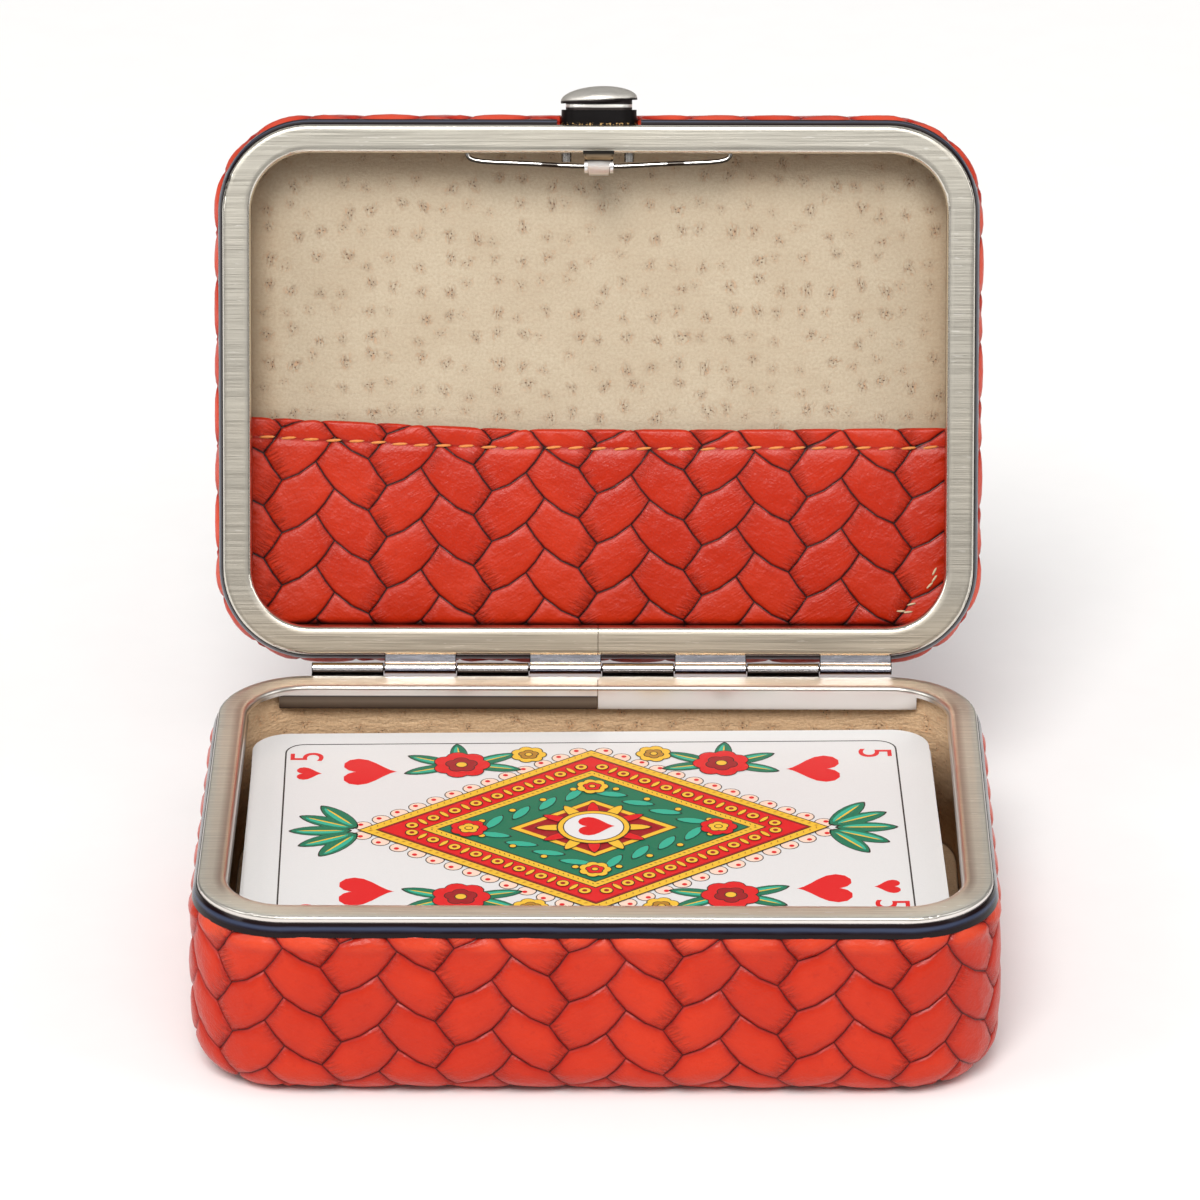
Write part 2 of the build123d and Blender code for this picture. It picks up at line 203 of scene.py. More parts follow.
# %% Helper for finishes
class Finish:
    """A material in the making, with short names for the nodes that it needs."""

    def __init__(self, name, **values):
        """Start a material whose shader sockets are set from plain values."""
        self.material = bpy.data.materials.new(name)
        self.material.use_nodes = True
        self.tree = self.material.node_tree
        self.shader = self.tree.nodes["Principled BSDF"]
        for key, value in values.items():
            self.shader.inputs[key.replace("_", " ")].default_value = self.solid(value)

    @staticmethod
    def solid(value):
        """A colour gets its full cover; a number or a socket is passed on as it is."""
        return (*value, 1) if isinstance(value, tuple) else value

    def add(self, kind, inputs=None, **settings):
        """Add a node; an input is a value, or an output socket to link from."""
        node = self.tree.nodes.new("ShaderNode" + kind)
        for key, value in settings.items():
            setattr(node, key, value)
        for key, value in (inputs or {}).items():
            if isinstance(value, bpy.types.NodeSocket):
                self.tree.links.new(value, node.inputs[key])
            else:
                node.inputs[key].default_value = value
        return node

    def here(self, output="Object"):
        """The point that is shaded, in the object's coordinates, or its normal."""
        return self.add("TexCoord").outputs[output]

    def math(self, operation, first, second=0.5, third=0.5):
        """One arithmetic step on numbers."""
        return self.add("Math", {0: first, 1: second, 2: third}, operation=operation).outputs[0]

    def vector(self, operation, *parts):
        """One arithmetic step on vectors."""
        result = "Value" if operation in ("DOT_PRODUCT", "DISTANCE") else "Vector"
        node = self.add("VectorMath", dict(enumerate(parts)), operation=operation)
        return node.outputs[result]

    def remap(self, value, start, end, low=0.0, high=1.0, smooth=True):
        """Stretch the part of a value between start and end over another range."""
        inputs = {"Value": value, "From Min": start, "From Max": end, "To Min": low, "To Max": high}
        kind = "SMOOTHSTEP" if smooth else "LINEAR"
        return self.add("MapRange", inputs, interpolation_type=kind).outputs[0]

    def from_noise(self, value, low=0.0, high=1.0):
        """Stretch noise, which mostly lies between 0.3 and 0.7, over a range."""
        return self.remap(value, 0.3, 0.7, low, high)

    def own_axis(self, place, row):
        """One coordinate in the axes of a half, whose place is given as a matrix."""
        line = place.inverted()[row]
        return self.math("ADD", self.vector("DOT_PRODUCT", self.here(), line[:3]), line[3])

    def stretch(self, vector, scale, turn=0.0):
        """Coordinates multiplied by three scales, and turned round Z."""
        inputs = {"Vector": vector, "Scale": scale, "Rotation": (0, 0, turn)}
        return self.add("Mapping", inputs).outputs[0]

    def noise(self, vector, scale, detail, rough=0.5, swirl=0.0, output="Fac"):
        """Cloudy noise on any coordinates."""
        inputs = {"Vector": vector, "Scale": scale, "Detail": detail}
        inputs |= {"Roughness": rough, "Distortion": swirl}
        return self.add("TexNoise", inputs).outputs[output]

    def grain(self, scale, detail=3.0):
        """Noise on the object's own coordinates, stretched by three scales per metre."""
        return self.noise(self.stretch(self.here(), scale), 1.0, detail, 0.55)

    def mix(self, share, first, second, mode="MIX"):
        """Mix two colours by a share."""
        inputs = {0: share, 6: self.solid(first), 7: self.solid(second)}
        return self.add("Mix", inputs, data_type="RGBA", blend_type=mode).outputs[2]

    def ramp(self, value, stops):
        """Colours at places between 0 and 1, blended in between."""
        node = self.add("ValToRGB", {0: value})
        scale = node.color_ramp.elements
        for element, (position, colour) in zip(scale, (stops[0], stops[-1])):
            element.position, element.color = position, self.solid(colour)
        for position, colour in stops[1:-1]:
            scale.new(position).color = self.solid(colour)
        return node.outputs[0]

    def bump(self, height, depth, under=None):
        """Bump of a real depth in metres, on top of another bump if one is given."""
        inputs = {"Height": height, "Distance": depth, "Strength": 1.0}
        if under is not None:
            inputs["Normal"] = under
        node = self.add("Bump", inputs)
        self.tree.links.new(node.outputs[0], self.shader.inputs["Normal"])
        return node.outputs[0]

    def done(self, colour, rough=None):
        """Link the colour and the roughness to the shader, and hand the material over."""
        self.tree.links.new(colour, self.shader.inputs["Base Color"])
        if rough is not None:
            self.tree.links.new(rough, self.shader.inputs["Roughness"])
        print("finish", self.material.name, "with", len(self.tree.nodes), "nodes")
        return self.material


# %% [markdown]
# ## Helpers for objects
# A piece is an object that is made here, rides on a body of the frame and can stand for some of its
# CAD nodes. It starts as a bmesh. The CAD nodes that nothing stands for are only given a finish.

# %% Helpers for objects
def new_object(name, mesh, material):
    """Object with smooth faces and one material, linked into the scene."""
    mesh.materials.clear()
    mesh.materials.append(material)
    mesh.polygons.foreach_set("use_smooth", [True] * len(mesh.polygons))
    made = bpy.data.objects.new(name, mesh)
    bpy.context.scene.collection.objects.link(made)
    print(name, len(mesh.polygons), "faces")
    return made


def make_piece(net, name, material, body, replaced=()):
    """Turn a bmesh into an object that rides on a body and stands for some CAD nodes."""
    mesh = bpy.data.meshes.new(name)
    net.to_mesh(mesh)
    net.free()
    piece = new_object(name, mesh, material)
    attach(piece, body)
    if replaced:
        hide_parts(*replaced)
    return piece


def dress(nodes, material):
    """Give carried-over CAD nodes their finish."""
    for name in nodes:
        for material_slot in frame["nodes"][name].material_slots:
            material_slot.material = material
    print(material.name, "on", nodes)


# %% [markdown]
# ## Metal: the rims
# The rims are nickel-plated sheet. Their flat faces are brushed along the hinge, also where they
# run up the sides, and their bent edges and inner flanges are smoother. The flat face is found by
# its normal, so one recipe covers a whole rim. The brush marks are noise that is stretched more
# than a hundredfold along X. Ramps along the half's own axes brighten and tint the nickel: painted
# light, for how the light falls on each side of the rim. The tray's rim also has painted shade and
# a painted highlight in bands along its sides, and painted reflections in bands on its flange,
# darker to the left of the seam.

# %% Metal: the rims
flat_facing = (0.955, 0.995)
steep_facing = (0.12, 0.30)
inner_roll = 1.1 * mm
side_band = (46.4 * mm, 48.2 * mm)
flange_foot = -5.5 * mm
flange_top = -1.2 * mm
bend_depth = 0.16


def edge_distance(mat, place):
    """How far out of the rim's outline a point is; below zero inside."""
    parts = []
    for row, straight in ((0, long_straight), (1, short_straight)):
        beyond = mat.math("SUBTRACT", mat.math("ABSOLUTE", mat.own_axis(place, row)), straight)
        beyond = mat.math("MAXIMUM", beyond, 0.0)
        parts.append(mat.math("MULTIPLY", beyond, beyond))
    far = mat.math("SQRT", mat.math("ADD", *parts))
    return mat.math("SUBTRACT", far, corner_radius)


def flange_painted_reflections(mat, place):
    """Painted reflections in bands on the tray's inner flange, from its foot up, darker to the left of the
    seam.
    """
    level = mat.remap(mat.own_axis(place, 2), flange_foot, flange_top, smooth=False)
    # Painted reflections: pale bands near the top, dark ones below.
    right_reflection = mat.ramp(level, (
        (0.0, (0.04, 0.03, 0.025)), (0.10, (0.30, 0.24, 0.18)), (0.45, (0.50, 0.44, 0.37)),
        (0.60, (0.85, 0.80, 0.76)), (1.0, (0.85, 0.80, 0.76)),
    ))
    left_reflection = mat.ramp(level, (
        (0.0, (0.02, 0.014, 0.012)), (0.53, (0.02, 0.014, 0.012)), (0.58, (0.13, 0.09, 0.065)),
        (0.78, (0.20, 0.15, 0.11)), (0.93, (0.14, 0.105, 0.08)), (0.97, (0.04, 0.04, 0.05)),
        (1.0, (0.80, 0.75, 0.70)),
    ))
    right_of_seam = mat.remap(mat.own_axis(place, 0), -0.05 * mm, 0.05 * mm)
    return mat.mix(right_of_seam, left_reflection, right_reflection)


print("bends start", inner_roll / mm, "mm from the inner edge of a rim's face")

# %% [markdown]
# ## Metal: brushed faces
# One recipe makes both rims. The brushing is strongest on the flat face and fades where the rim
# bends away from it, and the bend itself is a bump that falls off towards the edge. The two rims
# differ in their ramps of painted light, in how far the outer edge is rolled and in the tray's
# painted bands of shade, highlight and reflection.

# %% Metal: brushed faces
def brushed_rim(name, place, painted_light_ramp, outer_roll, edge_colour, edge_rough, painted_side_bands=()):
    """Nickel that is brushed on the face of a rim, and smoother on its bent edges."""
    mat = Finish(name, Metallic=1.0)
    facing = (place.to_3x3() @ Vector((0, 0, 1))).normalized()
    towards = mat.vector("DOT_PRODUCT", mat.here("Normal"), facing)
    flat = mat.remap(towards, *flat_facing)
    fine = mat.math("MULTIPLY", mat.grain((90, 15000, 15000), 2.0), 0.6)
    streak = mat.math("MULTIPLY_ADD", mat.grain((45, 6500, 6500), 3.0), 0.4, fine)
    cloud = mat.grain((40, 60, 60), 2.0)
    pale = mat.mix(mat.remap(streak, 0.36, 0.64), (0.345, 0.325, 0.285), (0.495, 0.473, 0.42))
    nick = mat.remap(mat.grain((420, 3600, 3600), 2.0), 0.655, 0.72, 0, 0.5)
    pale = mat.mix(nick, pale, (0.66, 0.65, 0.62))
    pale = mat.mix(mat.from_noise(cloud, 0, 0.25), pale, (0.53, 0.49, 0.41))
    # Painted light: the nickel is brightened and tinted along the half's Y axis, for how the light falls on
    # each side of the rim.
    height_up = mat.remap(mat.own_axis(place, 1), -half_depth, half_depth, smooth=False)
    pale = mat.mix(1.0, pale, mat.ramp(height_up, painted_light_ramp), "MULTIPLY")

    distance = edge_distance(mat, place)
    # Dark brown painted reflection on the rim's steep inner wall, which faces the dark inside of the half.
    inner_wall_reflection = (0.18, 0.125, 0.085)
    if painted_side_bands:
        # On the tray's sides: a painted highlight along the inner edge and a band of painted shade beside
        # it.
        sides = mat.remap(mat.math("ABSOLUTE", mat.own_axis(place, 0)), *side_band)
        band = mat.ramp(mat.remap(distance, -face_width, -0.4 * mm, smooth=False), painted_side_bands)
        pale = mat.mix(sides, pale, mat.mix(1.0, pale, band, "MULTIPLY"))
        inner_wall_reflection = flange_painted_reflections(mat, place)
    inner = mat.remap(distance, inner_roll - face_width, -face_width, smooth=False)
    outer = mat.remap(distance, -outer_roll, 0.0, smooth=False)
    off_roll = mat.math("SUBTRACT", 1.0, mat.math("MULTIPLY", inner, 0.85))
    flat = mat.math("MULTIPLY", flat, off_roll)
    inside = mat.remap(mat.math("ABSOLUTE", towards), *steep_facing)
    edge = mat.mix(inside, inner_wall_reflection, edge_colour)

    fall = mat.math("MULTIPLY_ADD", inner, inner, mat.math("MULTIPLY", outer, outer))
    under = mat.bump(mat.math("MULTIPLY", fall, -bend_depth), 1.0 * mm)
    brushed = mat.math("MULTIPLY", flat, mat.math("SUBTRACT", 1.0, outer))
    mat.bump(mat.math("MULTIPLY", streak, brushed), 0.012 * mm, under)
    rough = mat.math("SUBTRACT", mat.from_noise(streak, 0.32, 0.46), edge_rough)
    return mat.done(mat.mix(flat, edge, pale), mat.math("MULTIPLY_ADD", flat, rough, edge_rough))


# The tray's ramp brightens its front and back well above the nickel's own colour: painted light.
dress(["tray_frame"], brushed_rim(
    "tray_rim_nickel", tray_place,
    ((0.0, (2.28, 2.36, 2.40)), (0.09, (1.66, 1.66, 1.66)), (1.0, (2.05, 2.02, 1.98))),
    1.15 * mm, (0.60, 0.57, 0.52), 0.29,
    # Painted highlight at the inner edge, then painted shade, then the plain nickel.
    (
        (0.0, (1.5, 1.4, 1.25)), (0.10, (1.3, 1.18, 1.02)), (0.26, (0.52, 0.42, 0.40)),
        (0.55, (0.92, 0.9, 0.9)), (1.0, (1.0, 1.0, 1.0)),
    ),
))
# The lid's ramp is painted light too, brighter at its two ends.
dress(["lid_frame"], brushed_rim(
    "lid_rim_nickel", lid_place,
    ((0.0, (1.10, 0.99, 0.88)), (0.12, (1.0, 0.98, 0.96)), (1.0, (1.10, 1.10, 1.09))),
    0.75 * mm, (0.72, 0.68, 0.60), 0.22,
))

# %% [markdown]
# ## Metal: hinge and latch
# The hinge's knuckles and the latch's wire are round and polished. Such a part mirrors the room
# in bands along it, and these reflections are painted into its colour as a ramp over the turn of
# its normal. The joints between the knuckles are dark, and the wire has two dark marks. The hook
# is a bent strap whose colour is painted in bands across the lid: painted highlights on its roll
# and painted shade at its folds.

# %% Metal: hinge and latch
upward = Vector((0, 0.42, 0.907))
tarnish_black = (0.02, 0.014, 0.01)


def polished(name, colour, rough):
    """Plated metal with faint smears in its polish."""
    mat = Finish(name, Metallic=1.0)
    smear = mat.grain((260, 900, 900), 4.0)
    dark = tuple(0.82 * part for part in colour)
    return mat.done(mat.mix(smear, dark, colour), mat.from_noise(smear, rough, rough + 0.08))


def banded_reflection(name, stops, rough, joints=None, marks=()):
    """Round polished metal with its reflections painted in bands along it, from its underside to its top."""
    mat = Finish(name, Metallic=1.0)
    smear = mat.grain((300, 2500, 2500), 4.0)
    towards = mat.vector("DOT_PRODUCT", mat.here("Normal"), upward)
    towards = mat.math("MULTIPLY_ADD", mat.math("SUBTRACT", smear, 0.5), 0.025, towards)
    # Painted reflection: the colour is a ramp over how far the normal turns towards the upward axis.
    colour = mat.ramp(mat.math("MULTIPLY_ADD", towards, 0.5, 0.5), stops)
    if joints:
        first, pitch = joints
        across = mat.add("SeparateXYZ", {0: mat.here()}).outputs[0]
        step = mat.math("FRACT", mat.math("MULTIPLY_ADD", across, 1 / pitch, -first / pitch))
        step = mat.math("ABSOLUTE", mat.math("SUBTRACT", step, 0.5))
        colour = mat.mix(mat.remap(step, 0.477, 0.486), colour, (0.035, 0.025, 0.02))
    for start, end in marks:
        half = (end - start) / 2
        along = mat.math("SUBTRACT", mat.own_axis(lid_place, 0), (start + end) / 2)
        spot = mat.remap(mat.math("ABSOLUTE", along), half, half - 0.4 * mm, 0, 0.96)
        colour = mat.mix(spot, colour, tarnish_black)
    return mat.done(colour, mat.from_noise(smear, rough, rough + 0.10))


def strap_painted_bands(name, low, high, stops, rough):
    """Bent strap in painted bands across the lid's own Y axis: painted highlights on its roll and painted
    shade at its folds.
    """
    mat = Finish(name, Metallic=1.0)
    smear = mat.grain((500, 1400, 1400), 2.0)
    level = mat.math("SUBTRACT", smear, 0.5)
    level = mat.math("MULTIPLY_ADD", level, 0.2 * mm, mat.own_axis(lid_place, 1))
    colour = mat.ramp(mat.remap(level, low, high, smooth=False), stops)
    return mat.done(colour, mat.from_noise(smear, rough, rough + 0.12))


knuckle_count = 8
knuckle_gap = 0.12 * mm
pin_low, pin_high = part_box("hinge_pin")
joints = (pin_low.x - knuckle_gap / 2, (pin_high.x - pin_low.x + knuckle_gap) / knuckle_count)
# Painted reflections in bands on the knuckles.
dress(["tray_hinge_knuckles", "hinge_pin"], banded_reflection("tray_hinge_nickel", (
    (0.03, (0.05, 0.03, 0.02)), (0.10, (0.02, 0.018, 0.022)), (0.20, (0.26, 0.25, 0.29)),
    (0.45, (0.62, 0.62, 0.67)), (0.68, (0.95, 0.93, 0.90)), (0.84, (0.70, 0.42, 0.18)),
    (0.95, (0.04, 0.03, 0.02)),
), 0.2, joints))
dress(["lid_hinge_knuckles"], banded_reflection("lid_hinge_nickel", (
    (0.03, (0.62, 0.52, 0.42)), (0.17, (0.30, 0.17, 0.07)), (0.27, (0.03, 0.03, 0.07)),
    (0.38, (0.40, 0.42, 0.56)), (0.55, (0.92, 0.91, 0.92)), (0.80, (0.90, 0.86, 0.80)),
    (0.90, (0.55, 0.36, 0.20)),
), 0.2, joints))
dress(["latch_stem", "collar_rivets"], polished("latch_nickel", (0.42, 0.40, 0.38), 0.22))
# Painted highlight on the hook's roll and painted shade at its folds.
dress(["latch_hook"], strap_painted_bands("hook_nickel", 29.2 * mm, 32.3 * mm, (
    (0.0, (0.42, 0.41, 0.40)), (0.08, (0.88, 0.88, 0.88)), (0.42, (0.90, 0.90, 0.90)),
    (0.60, (0.36, 0.34, 0.32)), (0.66, (0.02, 0.018, 0.016)), (0.74, (0.30, 0.20, 0.11)),
    (0.90, (0.16, 0.12, 0.08)), (0.97, (0.02, 0.018, 0.016)),
), 0.34))

# %% [markdown]
# ## Black parts
# The bead round each rim and the button's collar are coated black. The bead is glossy, with a soft
# waviness that breaks up its reflections and a painted highlight, a paler band, along its crown.
# The collar is duller, and brass flecks show at its foot, where the coat has chipped.

# %% Black finishes
bead_top = -0.95 * mm
fleck_foot = half_depth + 0.16 * mm
fleck_reach = 0.18 * mm


def black_coat(name, rough, ripple, gloss, colour_of):
    """Black lacquer with a little unevenness; a function gives its colour."""
    mat = Finish(name, IOR=1.36, Specular_IOR_Level=gloss)
    wave = mat.grain((160, 160, 700), 3.0)
    mat.bump(wave, ripple)
    return mat.done(colour_of(mat, wave), mat.from_noise(wave, rough, rough + 0.12))


def bead_colour(place):
    """Colour of a bead: a painted highlight, a paler band along its crown, between its dark upper and lower
    sides.
    """
    dark, between, crown = (0.007, 0.002, 0.003), (0.016, 0.014, 0.024), (0.040, 0.050, 0.088)
    # Painted highlight: the paler crown band.
    stops = ((0.38, dark), (0.52, between), (0.66, crown), (0.78, crown), (0.92, dark))

    def colour(mat, wave):
        level = mat.math("SUBTRACT", wave, 0.5)
        level = mat.math("MULTIPLY_ADD", level, 0.22 * mm, mat.own_axis(place, 2))
        return mat.ramp(mat.remap(level, -skirt_height, bead_top, smooth=False), stops)

    return colour


def collar_colour(mat, _):
    """Black with brass flecks near the rim."""
    fleck = mat.remap(mat.grain((4600, 4600, 4600), 2.0), 0.54, 0.60)
    near = mat.remap(mat.own_axis(lid_place, 1), fleck_foot + fleck_reach, fleck_foot)
    bare = mat.math("MULTIPLY", fleck, near)
    return mat.mix(bare, (0.004, 0.003, 0.003), (0.55, 0.34, 0.13))


for half, place in (("tray", tray_place), ("lid", lid_place)):
    bead = black_coat(f"{half}_bead_black", 0.10, 0.02 * mm, 0.35, bead_colour(place))
    dress([f"{half}_edge_bead"], bead)
dress(["latch_collar"], black_coat("collar_black", 0.36, 0.03 * mm, 0.18, collar_colour))

# %% [markdown]
# ## Button
# The button's dome is brushed in fine straight lines, and its polished skirt has the black collar
# and the pale room painted on in bands, as painted reflections. It gets its own recipe because its
# brush marks are finer than the rim's and the dome has no flat face.

# %% Button finish
skirt_foot = half_depth + 2.0 * mm
skirt_top = half_depth + 3.1 * mm


def brushed_dome():
    """Fine brushed nickel for the push-button; its skirt has painted reflections of the black collar."""
    mat = Finish("button_nickel", Metallic=1.0)
    press = lid_place.to_3x3() @ Vector((0, 1, 0))
    towards = mat.vector("DOT_PRODUCT", mat.here("Normal"), press)
    streak = mat.grain((300, 9000, 9000), 2.0)
    mat.bump(streak, 0.03 * mm)
    dome = mat.mix(streak, (0.58, 0.555, 0.51), (0.76, 0.73, 0.675))
    level = mat.remap(mat.own_axis(lid_place, 1), skirt_foot, skirt_top, smooth=False)
    # Painted reflections on the skirt: dark bands of the black collar round a pale band of the room.
    skirt = mat.ramp(level, (
        (0.0, (0.03, 0.024, 0.022)), (0.26, (0.05, 0.042, 0.04)), (0.38, (0.60, 0.58, 0.55)),
        (0.62, (0.78, 0.75, 0.71)), (0.74, (0.03, 0.025, 0.025)), (1.0, (0.02, 0.016, 0.016)),
    ))
    colour = mat.mix(mat.remap(towards, 0.04, 0.22), skirt, dome)
    return mat.done(colour, mat.from_noise(streak, 0.40, 0.52))


dress(["latch_button"], brushed_dome())

# %% [markdown]
# ## Board
# The shells under the leather are plain brown board. They are hidden, and only show where a
# viewer takes the leather or the lining away.

# %% Board finish
def plain_board():
    """Brown board with its pulp."""
    mat = Finish("board", Roughness=0.9)
    pulp = mat.grain((700, 700, 2400), 4.0)
    mat.bump(pulp, 0.05 * mm)
    return mat.done(mat.mix(pulp, (0.23, 0.165, 0.10), (0.36, 0.27, 0.18)))


dress(["tray_core", "lid_core"], plain_board())

# %% [markdown]
# ## Woven leather: the pattern
# Flat strips cross in a herringbone. Seen from outside, each strip shows as a six-sided pad:
# columns of pads that fall to the right stand between columns that rise to the right, and the
# line between two columns is a zigzag. A plain grid becomes that pattern when its vertices are
# swung left and right by turns, every second column is dropped, and every second cross edge is
# dissolved. It is laid out flat first, because trimming and padding are easy in the flat.

# %% Pattern of the weave
strip_column = 7.26 * mm
strip_row = 7.03 * mm
strip_drop = 2.7 * mm
strip_swing = 1.27 * mm


def herringbone(columns, rows, origin, column=strip_column, row=strip_row):
    """Flat net of strip faces whose upper left corner is at the origin."""
    net = bmesh.new()
    bmesh.ops.create_grid(net, x_segments=columns, y_segments=2 * rows, size=0.5)

    def steps(vert):
        return round((vert.co.x + 0.5) * columns), round((0.5 - vert.co.y) * 2 * rows)

    spare = []
    for edge in net.edges:
        (across, down), (other_across, other_down) = steps(edge.verts[0]), steps(edge.verts[1])
        if down == other_down and (min(across, other_across) + down) % 2:
            spare.append(edge)
    for vert in net.verts:
        across, down = steps(vert)
        side = 1 if (across + down) % 2 == 0 else -1
        x = origin[0] + column * across + strip_swing * side
        y = origin[1] - row / 2 * down - strip_drop * (across % 2)
        vert.co = (x, y, 0)
    bmesh.ops.dissolve_edges(net, edges=spare, use_verts=False)
    sag_edges(net)
    return net


def sag_edges(net, groove_sag=0.38 * mm, end_sag=0.22 * mm):
    """Add a vertex in the middle of every edge and let it sag, as stuffed strips do."""
    split = bmesh.ops.bisect_edges(net, edges=net.edges[:], cuts=1)["geom_split"]
    for vert in [part for part in split if isinstance(part, bmesh.types.BMVert)]:
        first, second = [edge.other_vert(vert).co for edge in vert.link_edges]
        level = abs(second.x - first.x) > 1.2 * abs(second.y - first.y)
        vert.co.y -= groove_sag if level else end_sag


def cut(net, point, outward, drop=False, geom=None):
    """Cut the net along a straight line, and drop what lies on its outer side where asked."""
    if geom is None:
        geom = net.verts[:] + net.edges[:] + net.faces[:]
    bmesh.ops.bisect_plane(
        net, geom=geom, dist=1e-7, plane_co=(*point, 0), plane_no=(*outward, 0), clear_outer=drop
    )


print("strip columns are", strip_column / mm, "mm wide and their rows", strip_row / mm, "mm high")

# %% [markdown]
# ## Woven leather: the pads
# Every face is a strip between its grooves. Three insets raise it like a cushion: a short steep
# one out of the groove, a rounder one for the shoulder and a long shallow one for the top. The
# height of each vertex is kept as an attribute, so that the material can darken the grooves. The
# direction of each strip goes into the UV map, because the creases at a strip's ends follow it.

# %% Padding the strips
pad_steps = ((0.15 * mm, 0.26 * mm), (0.36 * mm, 0.20 * mm), (0.95 * mm, 0.15 * mm))
pad_crown = 0.08 * mm
print("pads rise", (sum(rise for _, rise in pad_steps) + pad_crown) / mm, "mm")


def mark_strips(net, column, origin_x):
    """Remember for every strip its middle and whether it falls or rises to the right."""
    middle_x = net.faces.layers.float.new("middle_x")
    middle_y = net.faces.layers.float.new("middle_y")
    rising = net.faces.layers.int.new("rising")
    for face in net.faces:
        middle_point = face.calc_center_median()
        face[middle_x] = middle_point.x
        face[middle_y] = middle_point.y
        face[rising] = int((middle_point.x - origin_x) // column) % 2


def inset_strips(net, strips, inward, rise, share):
    """Inset and raise every strip, without letting sharp corners run far inward."""
    for strip in strips:
        before = [vert.co.copy() for vert in strip.verts]
        bmesh.ops.inset_individual(
            net, faces=[strip], thickness=inward * share[strip], use_even_offset=True
        )
        reach = 1.5 * inward * share[strip]
        for vert, start in zip(strip.verts, before):
            moved = vert.co - start
            if moved.length > reach:
                vert.co = start + moved * (reach / moved.length)
            vert.co.z += rise * share[strip]


def pad_strips(net, steps=pad_steps, crown=pad_crown):
    """Raise every strip out of its grooves; the crowns end on the level zero."""
    total = sum(rise for _, rise in steps) + crown
    strips = net.faces[:]
    share = {}
    for strip in strips:
        room = 2 * strip.calc_area() / strip.calc_perimeter()
        share[strip] = min(1.0, room / (1.5 * mm))
    for inward, rise in steps:
        inset_strips(net, strips, inward, rise, share)
    bmesh.ops.poke(net, faces=strips, offset=crown)
    relief = net.verts.layers.float.new("relief")
    for vert in net.verts:
        vert[relief] = min(1.0, vert.co.z / total)
        vert.co.z -= total


def strip_uv(net):
    """Lay each strip in the UV map: U along the strip and V across it, in strip widths."""
    layer = net.loops.layers.uv.new("strip")
    middle_x = net.faces.layers.float["middle_x"]
    middle_y = net.faces.layers.float["middle_y"]
    rising = net.faces.layers.int["rising"]
    run = Vector((strip_column - 2 * strip_swing, -strip_drop)).normalized()
    for face in net.faces:
        along = Vector((-run.x, run.y)) if face[rising] else run
        across = Vector((-along.y, along.x))
        for loop in face.loops:
            offset = Vector((loop.vert.co.x - face[middle_x], loop.vert.co.y - face[middle_y]))
            loop[layer].uv = (offset.dot(along) / strip_row, offset.dot(across) / strip_row)


# %% [markdown]
# ## Woven leather: the shell under it
# The walls of each half swell a little and turn under in a round edge. A point of the flat net is
# carried there by two numbers: how far it is along the outline and how far it is down the wall.

# %% Outline and wall of a half
corner_reference = corner_radius + 1.0 * mm
corner_length = pi / 2 * corner_reference
quarter_length = long_straight + corner_length + short_straight
outline_length = 4 * quarter_length


def on_outline(distance):
    """Point on the rim's outer edge and the way outward, from the hinge side's middle leftward."""
    left = distance % outline_length
    x_side = -1 if left < 2 * quarter_length else 1
    left = min(left, outline_length - left)
    y_side = 1 if left < quarter_length else -1
    left = min(left, 2 * quarter_length - left)
    if left < long_straight:
        point, outward = Vector((left, half_depth)), Vector((0, 1))
    elif left < long_straight + corner_length:
        angle = (left - long_straight) / corner_reference
        outward = Vector((sin(angle), cos(angle)))
        point = Vector((long_straight, short_straight)) + corner_radius * outward
    else:
        point = Vector((half_width, quarter_length - left))
        outward = Vector((1, 0))
    sides = Vector((x_side, y_side))
    return point * sides, outward * sides


def wall_section(height, belly, edge_round):
    """Section of a wall: a swelling arc, a round edge and the flat outer face."""
    middle_z = -(skirt_height + height) / 2
    half_span = (height - skirt_height) / 2
    rise = -0.48 * height - middle_z
    arc_out = (belly**2 + rise**2 - leather_lip**2 - half_span**2) / (2 * (belly - leather_lip))
    arc_radius = hypot(leather_lip - arc_out, half_span)
    round_z = edge_round - height
    round_out = arc_out + sqrt((arc_radius - edge_round) ** 2 - (round_z - middle_z) ** 2)
    first = atan2(half_span, leather_lip - arc_out)
    second = atan2(round_z - middle_z, round_out - arc_out)
    swell_length = arc_radius * (first - second)
    round_length = edge_round * (second + pi / 2)

    def place(down):
        """How far out and how high a point is, and its outward normal."""
        if down < swell_length:
            angle = first - down / arc_radius
            centre, radius = (arc_out, middle_z), arc_radius
        elif down < swell_length + round_length:
            angle = second - (down - swell_length) / edge_round
            centre, radius = (round_out, round_z), edge_round
        else:
            return round_out - (down - swell_length - round_length), -height, (0, -1)
        normal = (cos(angle), sin(angle))
        return centre[0] + radius * normal[0], centre[1] + radius * normal[1], normal

    return place, swell_length, round_length, round_out


print("outline", outline_length / mm, "mm round")

# %% [markdown]
# ## Woven leather: round the walls
# The finished net is wrapped round the half. Its two ends meet at the hinge side, in a zigzag
# line of the weave itself, so the merged seam doesn't show. Extra cuts are made where the leather
# bends, at the corners and over the round edge, because a bend needs short faces. The rows sink a
# little towards one side, as they do on the real case, where the sheet was glued on by hand.

# %% Cutting and bending the net
def row_sink(along):
    """How far the rows stand above their mean at a place along the outline."""
    return 2.3 * mm * sin(2 * pi * along / outline_length)


def cut_across(net, places):
    """Extra cuts from edge to edge, to give a bend short faces."""
    for place in places:
        cut(net, (place, 0), (1, 0))


def cut_level(net, places):
    """Extra cuts along the net, to give a bend short faces."""
    for place in places:
        cut(net, (0, place), (0, 1))


